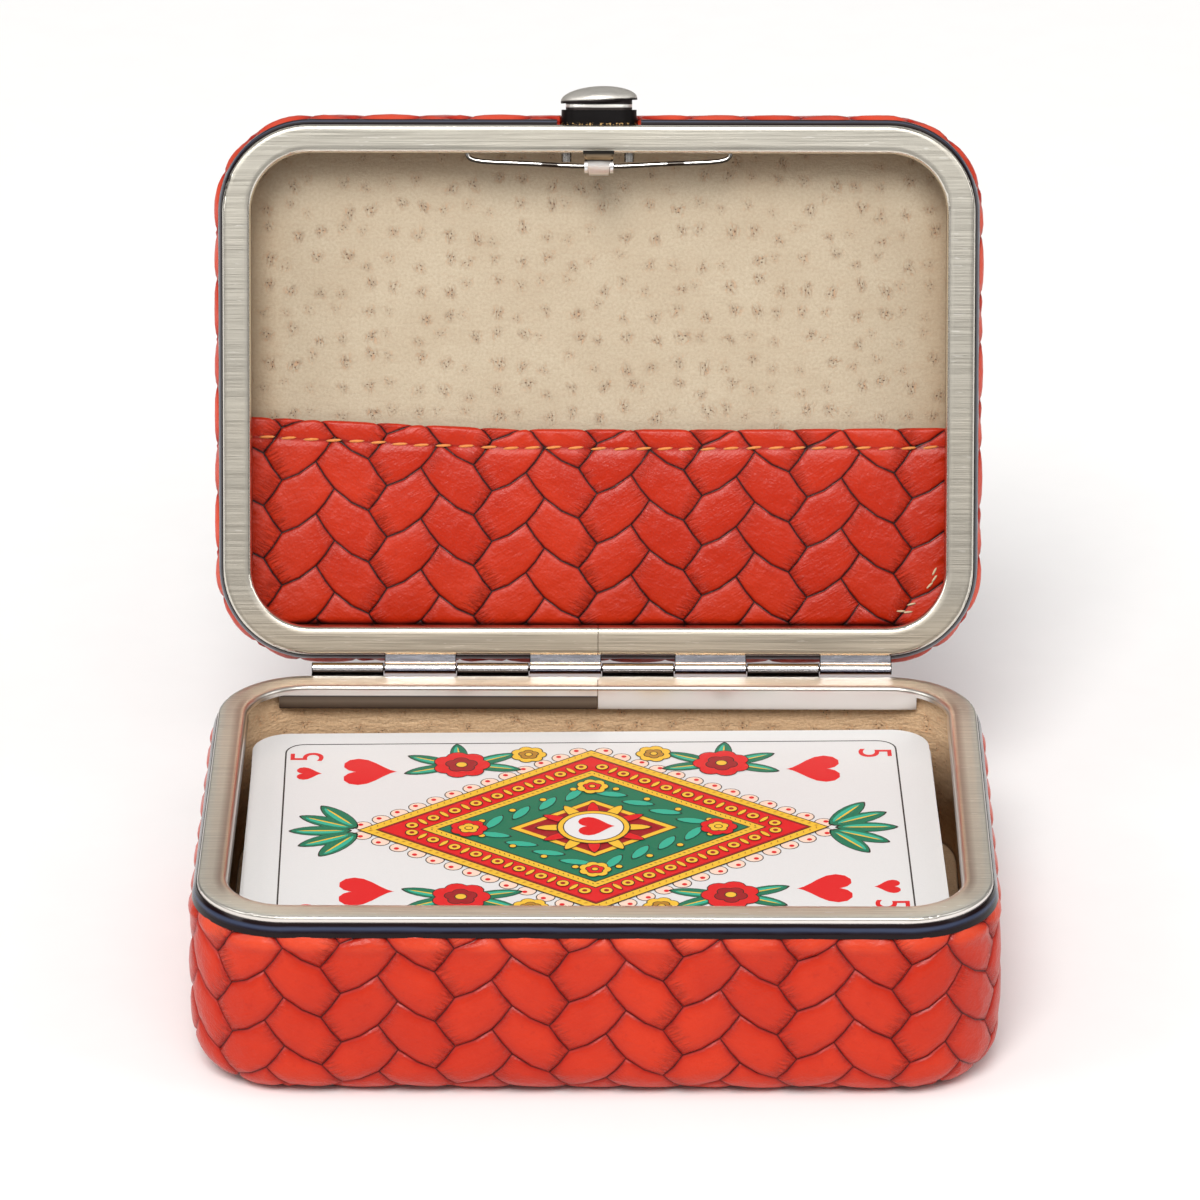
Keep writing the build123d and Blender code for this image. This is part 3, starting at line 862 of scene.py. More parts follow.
def cut_hole(net, corners):
    """Cut a convex hole, its corners given clockwise, out of the strips that it meets."""
    sides = []
    for start, end in zip(corners, corners[1:] + corners[:1]):
        run = Vector(end) - Vector(start)
        sides.append((Vector(start), Vector((-run.y, run.x)).normalized()))
    left, right_end = min(x for x, _ in corners), max(x for x, _ in corners)
    foot = min(y for _, y in corners)
    for point, outward in sides:
        near = [
            face for face in net.faces
            if max(vert.co.x for vert in face.verts) > left
            and min(vert.co.x for vert in face.verts) < right_end
            and max(vert.co.y for vert in face.verts) > foot
        ]
        cut(net, point, outward, geom=list(
            {part for face in near for part in (face, *face.edges, *face.verts)}
        ))
    inside = [
        face for face in net.faces
        if all((face.calc_center_median().xy - point).dot(outward) < 0 for point, outward in sides)
    ]
    print("faces cut away for the notch:", len(inside))
    bmesh.ops.delete(net, geom=inside, context="FACES")


def turn_in(net, first=-1.0, last=1.0, thickness=0.9 * mm):
    """Give the open edges a thickness, except at two ends that meet; by default none do."""
    reach = strip_swing + 0.1 * mm

    def on_seam(edge):
        near_first = all(vert.co.x < first + reach for vert in edge.verts)
        return near_first or all(vert.co.x > last - reach for vert in edge.verts)

    rim = [edge for edge in net.edges if edge.is_boundary and not on_seam(edge)]
    for part in bmesh.ops.extrude_edge_only(net, edges=rim)["geom"]:
        if isinstance(part, bmesh.types.BMVert):
            part.co.z -= thickness


# %% [markdown]
# ## Leather finish
# The leather is dyed orange-red and pressed. Its grooves and the shoulders of its pads are
# darkened, and so its crowns look lighter: painted shade, driven by the height attribute. Fine
# creases gather at the ends of each strip, placed by the strip UV map, and are darkened as painted
# shade too. A paler band near the bead is a painted highlight. Satin gloss comes from a middling
# roughness with a thin coat. The pocket's leather is thinner, with darker and wider grooves of
# painted shade.

# %% Leather finish
def crease_noise(mat, here, patch, gather=0.90):
    """Fine folds across a strip, gathered at its two ends."""
    strip = mat.add("UVMap", uv_map="strip").outputs[0]
    along = mat.add("SeparateXYZ", {0: strip}).outputs[0]
    spread = mat.math("MULTIPLY_ADD", mat.math("SUBTRACT", patch, 0.5), 0.5, along)
    low_end = mat.remap(spread, -0.46, -0.66, 0, 0.5)
    ends = mat.math("MAXIMUM", mat.remap(spread, 0.30, 0.62), low_end)
    ridges = mat.vector("MULTIPLY_ADD", here, (160, 160, 160), mat.stretch(strip, (2.6, 21, 1)))
    crease = mat.remap(mat.noise(ridges, 1.0, 4.0, 0.65, 0.5), 0.40, 0.64)
    share = mat.math("MULTIPLY_ADD", ends, gather, 1 - gather)
    return mat.math("MULTIPLY", crease, share)


def woven_leather(
    name, groove=(0.080, 0.002, 0.002), edge=(0.02, 0.42), crease_depth=0.11 * mm, folds=0.32,
    light=1.0, place=None,
):
    """Orange-red woven leather that reads its relief and its strip directions."""
    mat = Finish(name, IOR=1.46, Coat_Weight=0.11, Coat_Roughness=0.27, Specular_IOR_Level=0.25)
    here = mat.here()
    relief = mat.add("Attribute", attribute_name="relief").outputs["Fac"]
    uneven = mat.math("SUBTRACT", mat.grain((420, 420, 420)), 0.5)
    groove_shade_reach = mat.math("MULTIPLY_ADD", uneven, 0.30, relief)
    patch = mat.grain((70, 70, 70), 4.0)
    speck = mat.grain((900, 900, 900))
    crease = crease_noise(mat, here, patch)

    deep, fresh = (
        tuple(light * part for part in dye) for dye in ((0.47, 0.019, 0.003), (0.56, 0.029, 0.005))
    )
    dye = mat.mix(mat.from_noise(patch), deep, fresh)
    # Painted shade in the creases at the strip ends.
    dye = mat.mix(mat.math("MULTIPLY", crease, folds), dye, (0.16, 0.006, 0.003))
    dye = mat.mix(mat.remap(speck, 0.60, 0.75, 0, 0.22), dye, (0.30, 0.010, 0.004))
    if place is not None:
        # Painted highlight: a paler band of the leather just below the bead.
        painted_lip_highlight = mat.remap(mat.own_axis(place, 2), -4.9 * mm, -3.2 * mm, 0.0, 0.42)
        painted_lip_highlight = mat.math("MULTIPLY", painted_lip_highlight, mat.remap(patch, 0.32, 0.60, 0.35, 1.0))
        dye = mat.mix(painted_lip_highlight, dye, (0.78, 0.105, 0.045))
    # Painted shade: the pads' shoulders and their grooves darken with the height attribute.
    dye = mat.mix(mat.remap(relief, 0.30, 0.96), (0.37, 0.012, 0.004), dye)
    dye = mat.mix(mat.remap(groove_shade_reach, *edge), groove, dye)

    pore = mat.add("TexVoronoi", {"Vector": here, "Scale": 2600.0}).outputs["Distance"]
    under = mat.bump(crease, crease_depth)
    under = mat.bump(mat.grain((330, 330, 330), 2.0), 0.22 * mm, under)
    mat.bump(mat.math("MULTIPLY_ADD", pore, 0.5, speck), 0.055 * mm, under)
    return mat.done(dye, mat.from_noise(patch, 0.29, 0.40))


tray_hide = woven_leather("tray_woven_leather", place=tray_place)
lid_hide = woven_leather("lid_woven_leather", place=lid_place)
# The pocket's grooves get a darker painted shade, which reaches wider.
pocket_hide = woven_leather(
    "pocket_leather", (0.016, 0.001, 0.001), (0.16, 0.76), 0.12 * mm, 0.38, 0.91
)

# %% [markdown]
# ## Leather of the two halves
# Tray and lid differ only in height, swell and edge, so one function covers both. The pads lie a
# little proud of the board, swell under the bead and end in a lip that is pulled in behind it.

# %% Leather of the two halves
strips_round = 46
pad_proud = 0.10 * mm
lip_rise = 0.52 * mm
lip_pull, lip_width = 0.75 * mm, 0.22 * mm
swell_rise, swell_level, swell_width = 0.42 * mm, -1.3 * mm, 0.95 * mm
weave_shift = 2.74 * mm
front_middle = 2 * quarter_length
weave_phase = front_middle + weave_shift
first_column = weave_phase - 12 * 2 * outline_length / strips_round
lip_cuts = (0.42, 0.32, 0.2, 0.05, -0.15, -0.4, -0.8, -1.3, -1.8, -2.4)
edge_cuts = (0, 0.17, 0.34, 0.5, 0.67, 0.84, 1)
corner_cuts = 8
corner_starts = (
    long_straight,
    front_middle - long_straight - corner_length,
    front_middle + long_straight,
    outline_length - long_straight - corner_length,
)


def hump(value, centre, width):
    """One at the centre, and down to nothing within a few widths of it."""
    return exp(-(((value - centre) / width) ** 2))


def wrap_walls(net, place, transform, turned=False):
    """Carry a flat net to the wall: X goes round the outline, Y up the wall and Z outward."""
    for vert in net.verts:
        point, outward = on_outline(vert.co.x)
        out, level, normal = place(-vert.co.y)
        height = vert.co.z - lip_pull * hump(vert.co.y, lip_rise, lip_width)
        height += swell_rise * hump(vert.co.y, swell_level, swell_width)
        height += pad_proud * min(1.0, 1.0 + normal[1])
        out += height * normal[0]
        level += height * normal[1]
        spot = point + out * outward
        if turned:
            spot = -spot
        vert.co = transform @ Vector((spot.x, spot.y, level))
    bmesh.ops.remove_doubles(net, verts=net.verts[:], dist=0.002 * mm)


def wall_net(height, belly, edge_round, top_row, notch=None):
    """Padded strips for the walls of one half, still flat."""
    column = outline_length / strips_round
    place, swell_length, round_length, round_out = wall_section(height, belly, edge_round)
    foot = swell_length + round_length + 1.2 * mm
    rows = int((foot + 2.5 * strip_row) / strip_row) + 1
    net = herringbone(strips_round, rows, (first_column, top_row), column)
    for vert in net.verts:
        vert.co.y += row_sink(vert.co.x)
    mark_strips(net, column, first_column)
    pad_strips(net)
    strip_uv(net)
    cut(net, (0, lip_rise), (0, 1), drop=True)
    cut(net, (0, -foot), (0, -1), drop=True)
    if notch:
        cut_hole(net, notch)
    cut_level(net, [step * mm for step in lip_cuts])
    cut_level(net, [-swell_length - share * round_length for share in edge_cuts])
    for start in corner_starts:
        steps = [corner_length * step / (corner_cuts - 1) for step in range(corner_cuts)]
        cut_across(net, [start + step for step in steps])
    turn_in(net, first_column, first_column + outline_length)
    return net, place, round_out


net, place_tray, tray_round_out = wall_net(
    tray_height, belly=1.25 * mm, edge_round=5.5 * mm, top_row=11.05 * mm
)
wrap_walls(net, place_tray, tray_place)
make_piece(net, "tray_leather_walls", tray_hide, "tray", ["tray_leather"])

# %% [markdown]
# ## Leather of the lid
# The lid's leather makes room for the button's collar. The notch has two round lower corners, and
# it is cut out of the padded net while that is still flat, so its edge runs straight through the
# strips, as a knife leaves it.

# %% Leather of the lid
notch_reach = 5.26 * mm
notch_top = 2 * mm
notch_foot = 4.0 * mm
notch_round = 2.1 * mm
notch_side = [(notch_reach, notch_top)]
for step in range(4):
    angle = radians(30 * step)
    across = notch_reach - notch_round * (1 - cos(angle))
    notch_side.append((across, -notch_foot + notch_round * (1 - sin(angle))))
notch = [(front_middle + x, y) for x, y in notch_side]
notch += [(front_middle - x, y) for x, y in reversed(notch_side)]

net, place_lid, lid_round_out = wall_net(
    lid_height, belly=1.1 * mm, edge_round=4.4 * mm, top_row=8.2 * mm, notch=notch
)
wrap_walls(net, place_lid, lid_place, turned=True)
make_piece(net, "lid_leather_walls", lid_hide, "lid", ["lid_leather"])
print("the walls' leather stands", pad_proud / mm, "mm proud of the board")

# %% [markdown]
# ## Leather of the flat faces
# The underside of the tray and the outer face of the lid are flat panels with rounded corners.
# The same net is clipped to that outline by one straight cut after another, the corners by
# eight short ones each, and turned to face outward.

# %% Leather of the flat faces
panel_inset = 1.25 * mm


def clip_rounded(net, half_x, half_y, radius, facets=8):
    """Trim a net to a rectangle with rounded corners round the origin."""
    for side in (-1, 1):
        cut(net, (side * half_x, 0), (side, 0), drop=True)
        cut(net, (0, side * half_y), (0, side), drop=True)
    for side_x in (-1, 1):
        for side_y in (-1, 1):
            for step in range(facets):
                angle = pi / 2 * (step + 0.5) / facets
                outward = Vector((side_x * cos(angle), side_y * sin(angle)))
                centre = Vector((side_x * (half_x - radius), side_y * (half_y - radius)))
                cut(net, centre + outward * radius, outward, drop=True)


def face_panel(height, round_out, transform):
    """Padded strips for the flat outer face of one half."""
    round_out -= panel_inset
    across, deep = half_width + round_out, half_depth + round_out
    columns = 4 * (int(across / (2 * strip_column)) + 1)
    rows = 2 * (int(deep / strip_row) + 1)
    origin = (weave_shift - columns / 2 * strip_column, rows / 2 * strip_row + strip_drop / 2)
    net = herringbone(columns, rows, origin)
    mark_strips(net, strip_column, origin[0])
    pad_strips(net)
    strip_uv(net)
    clip_rounded(net, across, deep, corner_radius + round_out)
    turn_in(net)
    for vert in net.verts:
        x, y, level = vert.co
        vert.co = transform @ Vector((x, -y, -height - level))
    print("panel half sizes", across / mm, deep / mm)
    return net


panel = face_panel(tray_height, tray_round_out, tray_place)
make_piece(panel, "tray_leather_underside", tray_hide, "tray", ["tray_leather"])
panel = face_panel(lid_height, lid_round_out, lid_place)
make_piece(panel, "lid_leather_face", lid_hide, "lid", ["lid_leather"])

# %% [markdown]
# ## Lining
# Both halves are lined with beige pigskin suede. Its hair holes sit in threes, and that is the
# mark of this leather. A cell pattern gives each group its place, and three small discs round the
# middle of each cell give the holes. They are drawn on a UV map in centimetres, because on the
# object's own coordinates the lid's tilted plane would cut the cells at odd heights.

# %% Lining finish
hair_holes = ((-0.030, 0.008), (0.026, 0.014), (0.006, -0.034))


def hair_cells(mat, bent):
    """Distance to the nearest hair hole, and how strong the group is, from 0 to 1."""
    inputs = {"Vector": bent, "Scale": 2.85, "Randomness": 0.62}
    cells = mat.add("TexVoronoi", inputs, voronoi_dimensions="2D").outputs
    offset = mat.vector("SUBTRACT", bent, cells["Position"])
    parts = mat.add("SeparateColor", {0: cells["Color"]}).outputs
    swing = mat.remap(parts[1], 0, 1, -0.7, 0.7, smooth=False)
    inputs = {"Vector": offset, "Axis": (0, 0, 1), "Angle": swing}
    offset = mat.add("VectorRotate", inputs, rotation_type="AXIS_ANGLE").outputs[0]
    first, *others = [mat.vector("DISTANCE", offset, (*hole, 0)) for hole in hair_holes]
    for other in others:
        first = mat.math("MINIMUM", first, other)
    return first, mat.remap(parts[0], 0.05, 0.8, 0.45, 1.0)


def pigskin(name, light=1.0, painted_warm_bounce=0.0, mottle=0.48, depth=0.10 * mm):
    """Beige suede with hair holes in threes."""

    def tint(red, green, blue):
        return red * light, green * light * (1 - 0.5 * painted_warm_bounce), blue * light * (1 - painted_warm_bounce)

    mat = Finish(
        name, Roughness=0.86, Sheen_Weight=0.18, Sheen_Roughness=0.5, Sheen_Tint=(1.0, 0.93, 0.82)
    )
    flat = mat.add("UVMap", uv_map="flat").outputs[0]
    warp = mat.noise(flat, 2.2, 2.0, output="Color")
    bent = mat.vector("MULTIPLY_ADD", warp, (0.22, 0.22, 0), flat)
    near, strength = hair_cells(mat, bent)
    hole = mat.math("MULTIPLY", mat.remap(near, 0.0115, 0.005), strength)
    halo = mat.math("MULTIPLY", mat.remap(near, 0.115, 0.01), strength)
    fibre = mat.noise(mat.stretch(bent, (34, 14, 1), 0.9), 1.0, 4.0, 0.7, 0.8)
    wrinkle = mat.math("MULTIPLY", halo, mat.remap(fibre, 0.46, 0.62))

    cloud = mat.noise(flat, 1.1, 4.0)
    nap = mat.noise(flat, 24.0, 6.0, 0.62)
    vein = mat.noise(mat.stretch(bent, (1.2, 5.0, 1)), 1.6, 5.0, 0.6)
    hide = mat.mix(mat.from_noise(cloud), tint(0.47, 0.385, 0.275), tint(0.51, 0.43, 0.315))
    hide = mat.mix(mat.remap(nap, 0.32, 0.68, 0, mottle), hide, tint(0.38, 0.29, 0.20))
    hide = mat.mix(mat.remap(vein, 0.55, 0.75, 0, 0.28), hide, tint(0.43, 0.31, 0.21))
    hide = mat.mix(mat.math("MULTIPLY", wrinkle, 0.70), hide, tint(0.52, 0.295, 0.165))
    # Painted shadow: a warm brown band along the lining's two sides and one end, where the rim's shade
    # falls.
    spot = mat.add("SeparateXYZ", {0: flat}).outputs
    side = mat.remap(mat.math("ABSOLUTE", spot[0]), 4.15, 4.86)
    painted_rim_shadow = mat.math("MAXIMUM", side, mat.remap(spot[1], 2.55, 3.36))
    hide = mat.mix(mat.math("MULTIPLY", painted_rim_shadow, 0.36), hide, tint(0.33, 0.19, 0.085))
    hide = mat.mix(mat.math("MULTIPLY", hole, 0.78), hide, tint(0.10, 0.042, 0.018))
    relief = mat.math("MULTIPLY_ADD", wrinkle, -0.6, mat.math("MULTIPLY", hole, -0.9))
    under = mat.bump(relief, 0.12 * mm)
    mat.bump(mat.math("MULTIPLY_ADD", vein, 1.6, nap), depth, under)
    return mat.done(hide)


lid_lining = pigskin("lid_pigskin")
# The tray's lining is a brighter, warmer copy of the same suede: painted light for the light and warm bounce
# in the deep tray.
tray_lining = pigskin("tray_pigskin", 1.80, 0.18, 0.95, 0.24 * mm)

# %% [markdown]
# ## Lining: floor and walls
# The floor lining is glued to a board and its edge is rounded, and a second strip lines the
# walls. Each starts as a plain block whose upright edges are bevelled to the outline's corners.

# %% Lining: floor and walls
lining_thickness = 0.65 * mm
strip_thickness = 0.55 * mm
lining_face = -1.75 * mm
floor_out = -2.35 * mm
wall_high = -0.65 * mm


def bevel(net, geom, offset, segments, affect="EDGES"):
    """Round some edges or corners of a bmesh."""
    bmesh.ops.bevel(
        net, geom=geom, offset=offset, offset_type="OFFSET", segments=segments,
        profile=0.5, affect=affect, material=-1,
    )


def clamp(value, low=0.0, high=1.0):
    """The value, kept between two limits."""
    return max(low, min(high, value))


def rounded_block(out, low, high):
    """Block with the rim's outline moved outward by out (inward if below zero)."""
    block = bmesh.new()
    size = (2 * (half_width + out), 2 * (half_depth + out), high - low)
    centre = Matrix.Translation((0, 0, (low + high) / 2))
    bmesh.ops.create_cube(block, size=1, matrix=centre @ Matrix.Diagonal((*size, 1)))
    ends = [(edge, [vert.co.z for vert in edge.verts]) for edge in block.edges]
    bevel(block, [edge for edge, (a, b) in ends if abs(a - b) > 1e-6], corner_radius + out, 10)
    return block


def flat_uv(net, scale=10 * mm):
    """UV map in centimetres, from above on level faces and along the walls on upright ones."""
    layer = net.loops.layers.uv.new("flat")
    net.normal_update()
    for face in net.faces:
        for loop in face.loops:
            x, y, z = loop.vert.co / scale
            if abs(face.normal.z) > 0.5:
                loop[layer].uv = (x, y)
            elif abs(face.normal.x) > abs(face.normal.y):
                loop[layer].uv = (y + 17, z)
            else:
                loop[layer].uv = (x + 31, z)


def line_with(net, name, node, half, transform, material):
    """Map a lining, carry it to its half and make it a piece."""
    flat_uv(net)
    bmesh.ops.transform(net, matrix=transform, verts=net.verts[:])
    make_piece(net, name, material, half, [node])


def floor_slab(low, high):
    """Slab of lining for the floor, with a soft upper edge."""
    slab = rounded_block(floor_out, low, high)
    top = max(slab.faces, key=lambda face: face.calc_center_median().z)
    bevel(slab, top.edges[:], 0.45 * mm, 4)
    return slab


def wall_strip(low, high):
    """Strip of lining round the inside of the walls, with a turned upper edge."""
    strip = rounded_block(lining_face, low, high)
    level = [face for face in strip.faces if abs(face.normal.z) > 0.9]
    bmesh.ops.delete(strip, geom=level, context="FACES")
    inner = bmesh.ops.duplicate(strip, geom=strip.faces[:])["geom"]
    for vert in [part for part in inner if isinstance(part, bmesh.types.BMVert)]:
        limits = zip(vert.co.xy, (long_straight, short_straight))
        corner = Vector([clamp(value, -limit, limit) for value, limit in limits])
        vert.co.xy -= (vert.co.xy - corner).normalized() * strip_thickness
    turned = [part for part in inner if isinstance(part, bmesh.types.BMFace)]
    bmesh.ops.reverse_faces(strip, faces=turned)

    def lies_at(edge, height):
        return all(abs(vert.co.z - height) < 1e-7 for vert in edge.verts)

    loops = [edge for edge in strip.edges if edge.is_boundary]
    for height in (low, high):
        bmesh.ops.bridge_loops(strip, edges=[edge for edge in loops if lies_at(edge, height)])
    bevel(strip, [
        edge for edge in strip.edges
        if lies_at(edge, high) and any(abs(face.normal.z) < 0.5 for face in edge.link_faces)
    ], 0.2 * mm, 2)
    bmesh.ops.recalc_face_normals(strip, faces=strip.faces[:])
    return strip


for half, height, transform, material in (
    ("tray", tray_height, tray_place, tray_lining), ("lid", lid_height, lid_place, lid_lining),
):
    floor_top = base_stack - height
    low_edge = floor_top - lining_thickness
    slab, strip = floor_slab(low_edge, floor_top), wall_strip(low_edge, wall_high)
    line_with(slab, f"{half}_lining_floor", f"{half}_floor_lining", half, transform, material)
    line_with(strip, f"{half}_lining_walls", f"{half}_wall_lining", half, transform, material)

# %% [markdown]
# ## Shape of the pocket
# Score sheets go into a flat leather pocket over the lower half of the lid. Its mouth is folded
# over and stitched, and sags a little from its left end to the middle. One function carries a
# point of the straight net there: what lies beyond the fold line goes round the fold, and the
# mouth's own curve, the groove of the stitches and a slight belly are added.

# %% Shape of the pocket
pocket_inset = 2.4 * mm
pocket_front = base_stack - lid_height + 1.8 * mm
pocket_half = half_width - pocket_inset
pocket_foot = -(half_depth - pocket_inset)
mouth_line = -5.55 * mm
fold_radius = 0.5 * mm


def mouth_lift(x):
    """How much higher the mouth stands towards its left end."""
    return 0.045 * max(0.0, -12 * mm - x) + 0.010 * max(0.0, x - 20 * mm)


def stitch_line(x):
    """Distance of the stitches below the mouth."""
    return 2.62 * mm + 0.07 * mm * sin(x / (5.2 * mm)) + 0.05 * mm * sin(x / (2.1 * mm) + 1)


def lay_pocket(x, y, level):
    """Carry a point of the straight net to the lid's own axes."""
    below = mouth_line - y
    fade = clamp((y - pocket_foot) / (mouth_line - pocket_foot))
    level -= 0.22 * mm * hump(below, stitch_line(x), 0.55 * mm)
    belly = 0.35 * mm * cos(pi * x / (2.1 * pocket_half)) * sin(pi * min(1.0, fade * 0.95))
    belly -= 1.1 * mm * clamp((pocket_foot + 2.2 * mm - y) / (1.6 * mm)) ** 2
    if below >= fold_radius:
        return Vector((x, y + mouth_lift(x) * fade, pocket_front + level + belly))
    angle = min(pi, (fold_radius - below) / fold_radius)
    reach = fold_radius + level
    height = mouth_line - fold_radius + reach * sin(angle) + mouth_lift(x)
    return Vector((x, height, pocket_front - fold_radius + reach * cos(angle) + belly))


print("pocket mouth at", mouth_line / mm, "mm")

# %% [markdown]
# ## Leather of the pocket
# The pocket's weave is a little finer than the walls' and was cut slightly askew. Its strips are
# lower. Towards the foot and along the stitches their height attribute is faded, which darkens
# them like grooves: painted shadow where the pocket runs under the rim, and painted shade in the
# groove of the stitches. Extra cuts let the leather bend round the fold, at the stitches and at
# the foot.

# %% Leather of the pocket
pocket_column = 7.19 * mm
pocket_row = 6.86 * mm
pocket_left = -51.8 * mm
pocket_steps = ((0.14 * mm, 0.24 * mm), (0.22 * mm, 0.10 * mm), (0.75 * mm, 0.07 * mm))
net = herringbone(16, 8, (pocket_left, 6.1 * mm), pocket_column, pocket_row)
for vert in net.verts:
    vert.co.y -= 0.017 * (vert.co.x + 37 * mm)
mark_strips(net, pocket_column, pocket_left)
pad_strips(net, pocket_steps, 0.02 * mm)
strip_uv(net)
cut(net, (0, mouth_line + 1.1 * mm), (0, 1), drop=True)
clip_rounded(net, pocket_half, -pocket_foot, corner_radius - pocket_inset)
cut_level(net, [mouth_line - fold_radius + fold_radius * step * pi / 6 for step in range(6)])
cut_level(net, [mouth_line - step * mm for step in (1.7, 2.2, 2.62, 3.05, 3.55)])
cut_level(net, [pocket_foot + step * mm for step in (0.7, 1.2, 1.7, 2.2)])
relief = net.verts.layers.float["relief"]
for vert in net.verts:
    x, y, _ = vert.co
    # Painted shadow: fading the height attribute makes the strips groove-dark near the foot, where the
    # pocket runs under the rim, and along the stitches.
    vert[relief] *= clamp((y - pocket_foot - 0.9 * mm) / (1.1 * mm))
    vert[relief] *= 1 - 0.45 * hump(mouth_line - y, stitch_line(x), 0.35 * mm)
turn_in(net, thickness=0.45 * mm)
for vert in net.verts:
    vert.co = lid_place @ lay_pocket(*vert.co)
make_piece(net, "lid_pocket_leather", pocket_hide, "lid", ["lid_pocket"])

# %% [markdown]
# ## Stitches of the pocket
# The hem is sewn with orange thread. Each stitch is a short round bead, squashed and with its two
# ends sunk into the leather, because that is all that shows of a thread between two holes. They
# are about three millimetres apart and each leans a little. Undyed thread holds the pocket down
# in its lower right corner, and a few of its stitches show there.

# %% Stitches of the pocket
stitch_pitch = 3.02 * mm
hem_half_sizes = (1.12 * mm, 0.21 * mm, 0.19 * mm)
corner_half_sizes = (0.66 * mm, 0.16 * mm, 0.15 * mm)
corner_turns = ((-7, 1.1), (-15, 0.9), (-24, 1.2), (-55, 1.5), (-63, 0.8), (-70, 1.3))


def sewing_thread(name, scale, dark, pale, **values):
    """Thread with its twist."""
    mat = Finish(name, **values)
    twist = mat.grain(scale, 2.0)
    mat.bump(twist, 0.03 * mm)
    return mat.done(mat.mix(twist, dark, pale))


def sew(net, x, y, level, turn, half_sizes):
    """One stitch, laid on the pocket."""
    shape = (
        lid_place
        @ Matrix.Translation(lay_pocket(x, y, level))
        @ Matrix.Rotation(turn, 4, "Z")
        @ Matrix.Diagonal((*half_sizes, 1))
    )
    bmesh.ops.create_uvsphere(net, u_segments=8, v_segments=6, radius=1.0, matrix=shape)


hem = bmesh.new()
for number in range(-15, 16):
    x = number * stitch_pitch + 0.12 * mm * sin(7.3 * number)
    slope = (mouth_lift(x + 0.5 * mm) - mouth_lift(x - 0.5 * mm)) / mm
    slope += 0.10 + 0.04 * sin(3.1 * number)
    sew(hem, x, mouth_line - stitch_line(x), 0.02 * mm, slope, hem_half_sizes)
orange = sewing_thread(
    "hem_thread", (2600, 5200, 5200), (0.50, 0.13, 0.015), (0.80, 0.29, 0.045),
    Roughness=0.5, Sheen_Weight=0.3,
)
make_piece(hem, "pocket_stitches", orange, "lid")

corner = bmesh.new()
for angle, inward in corner_turns:
    reach = corner_radius - face_width - inward * mm
    x = long_straight + reach * cos(radians(angle))
    y = -short_straight + reach * sin(radians(angle))
    sew(corner, x, y, -0.02 * mm, radians(angle + 70), corner_half_sizes)
cream = sewing_thread(
    "corner_thread", (3000, 3000, 6000), (0.42, 0.27, 0.13), (0.78, 0.66, 0.46), Roughness=0.6
)
make_piece(corner, "pocket_corner_stitches", cream, "lid")

# %% [markdown]
# ## Bow wire of the latch
# A bow of round wire holds the hook out. Its ends sit in holes of the rim and its middle passes
# through the hook's ears, so it bends when the button is pressed. The wire is drawn as two
# mirrored curves with a round section. Each becomes a mesh that is blended from lid to latch.

# %% Bow wire of the latch
wire_radius = 0.325 * mm
wire_depth = -1.35 * mm
wire_middle = 30.4
wire_fixed, wire_moving = 16.5 * mm, 2.6 * mm
wire_route = (
    (17.9, 32.9), (17.9, 31.9), (17.3, 31.25), (15.2, 30.93), (10.5, 30.78), (7.2, 30.62),
    (4.2, 30.44), (2.4, wire_middle), (0, wire_middle),
)
wire_marks = ((-8.0 * mm, -5.3 * mm), (9.0 * mm, 11.8 * mm))


def mesh_from(name, drawing):
    """Mesh of a curve or a text, by way of an object that is removed again."""
    helper = bpy.data.objects.new(name, drawing)
    bpy.context.scene.collection.objects.link(helper)
    bpy.context.view_layer.update()
    graph = bpy.context.evaluated_depsgraph_get()
    mesh = bpy.data.meshes.new_from_object(helper.evaluated_get(graph))
    bpy.data.objects.remove(helper)
    return mesh


# Painted reflections in bands along the wire.
bright_wire = banded_reflection("wire_nickel", (
    (0.10, (0.02, 0.018, 0.015)), (0.34, (0.08, 0.07, 0.06)), (0.46, (0.50, 0.48, 0.46)),
    (0.56, (0.92, 0.90, 0.87)), (0.70, (0.80, 0.78, 0.75)), (0.80, (0.12, 0.10, 0.08)),
    (0.96, (0.03, 0.025, 0.02)),
), 0.14, marks=wire_marks)

for side, name in ((-1, "latch_wire_left"), (1, "latch_wire_right")):
    line = bpy.data.curves.new(name, "CURVE")
    line.dimensions = "3D"
    line.bevel_depth = wire_radius
    line.bevel_resolution = 3
    line.use_fill_caps = True
    spline = line.splines.new("NURBS")
    spline.points.add(len(wire_route) - 1)
    for point, (x, y) in zip(spline.points, wire_route):
        point.co = (side * x * mm, y * mm, wire_depth, 1)
    spline.order_u = 3
    spline.use_endpoint_u = True
    spline.resolution_u = 6
    mesh = mesh_from(name + "_line", line)
    mesh.transform(lid_place)
    wire = new_object(name, mesh, bright_wire)
    start = lid_place @ Vector((side * wire_fixed, wire_middle * mm, wire_depth))
    end = lid_place @ Vector((side * wire_moving, wire_middle * mm, wire_depth))
    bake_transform(wire, "lid", "latch", start=start, end=end)
    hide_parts("latch_spring")

# %% [markdown]
# ## Cards
# The cards are white board with a smooth coat. Their cut edges show as fine grey lines, one to
# each card, so the edge finish is a wave on the height with the thickness of a card.

# %% Cards
card_thickness = 0.31 * mm


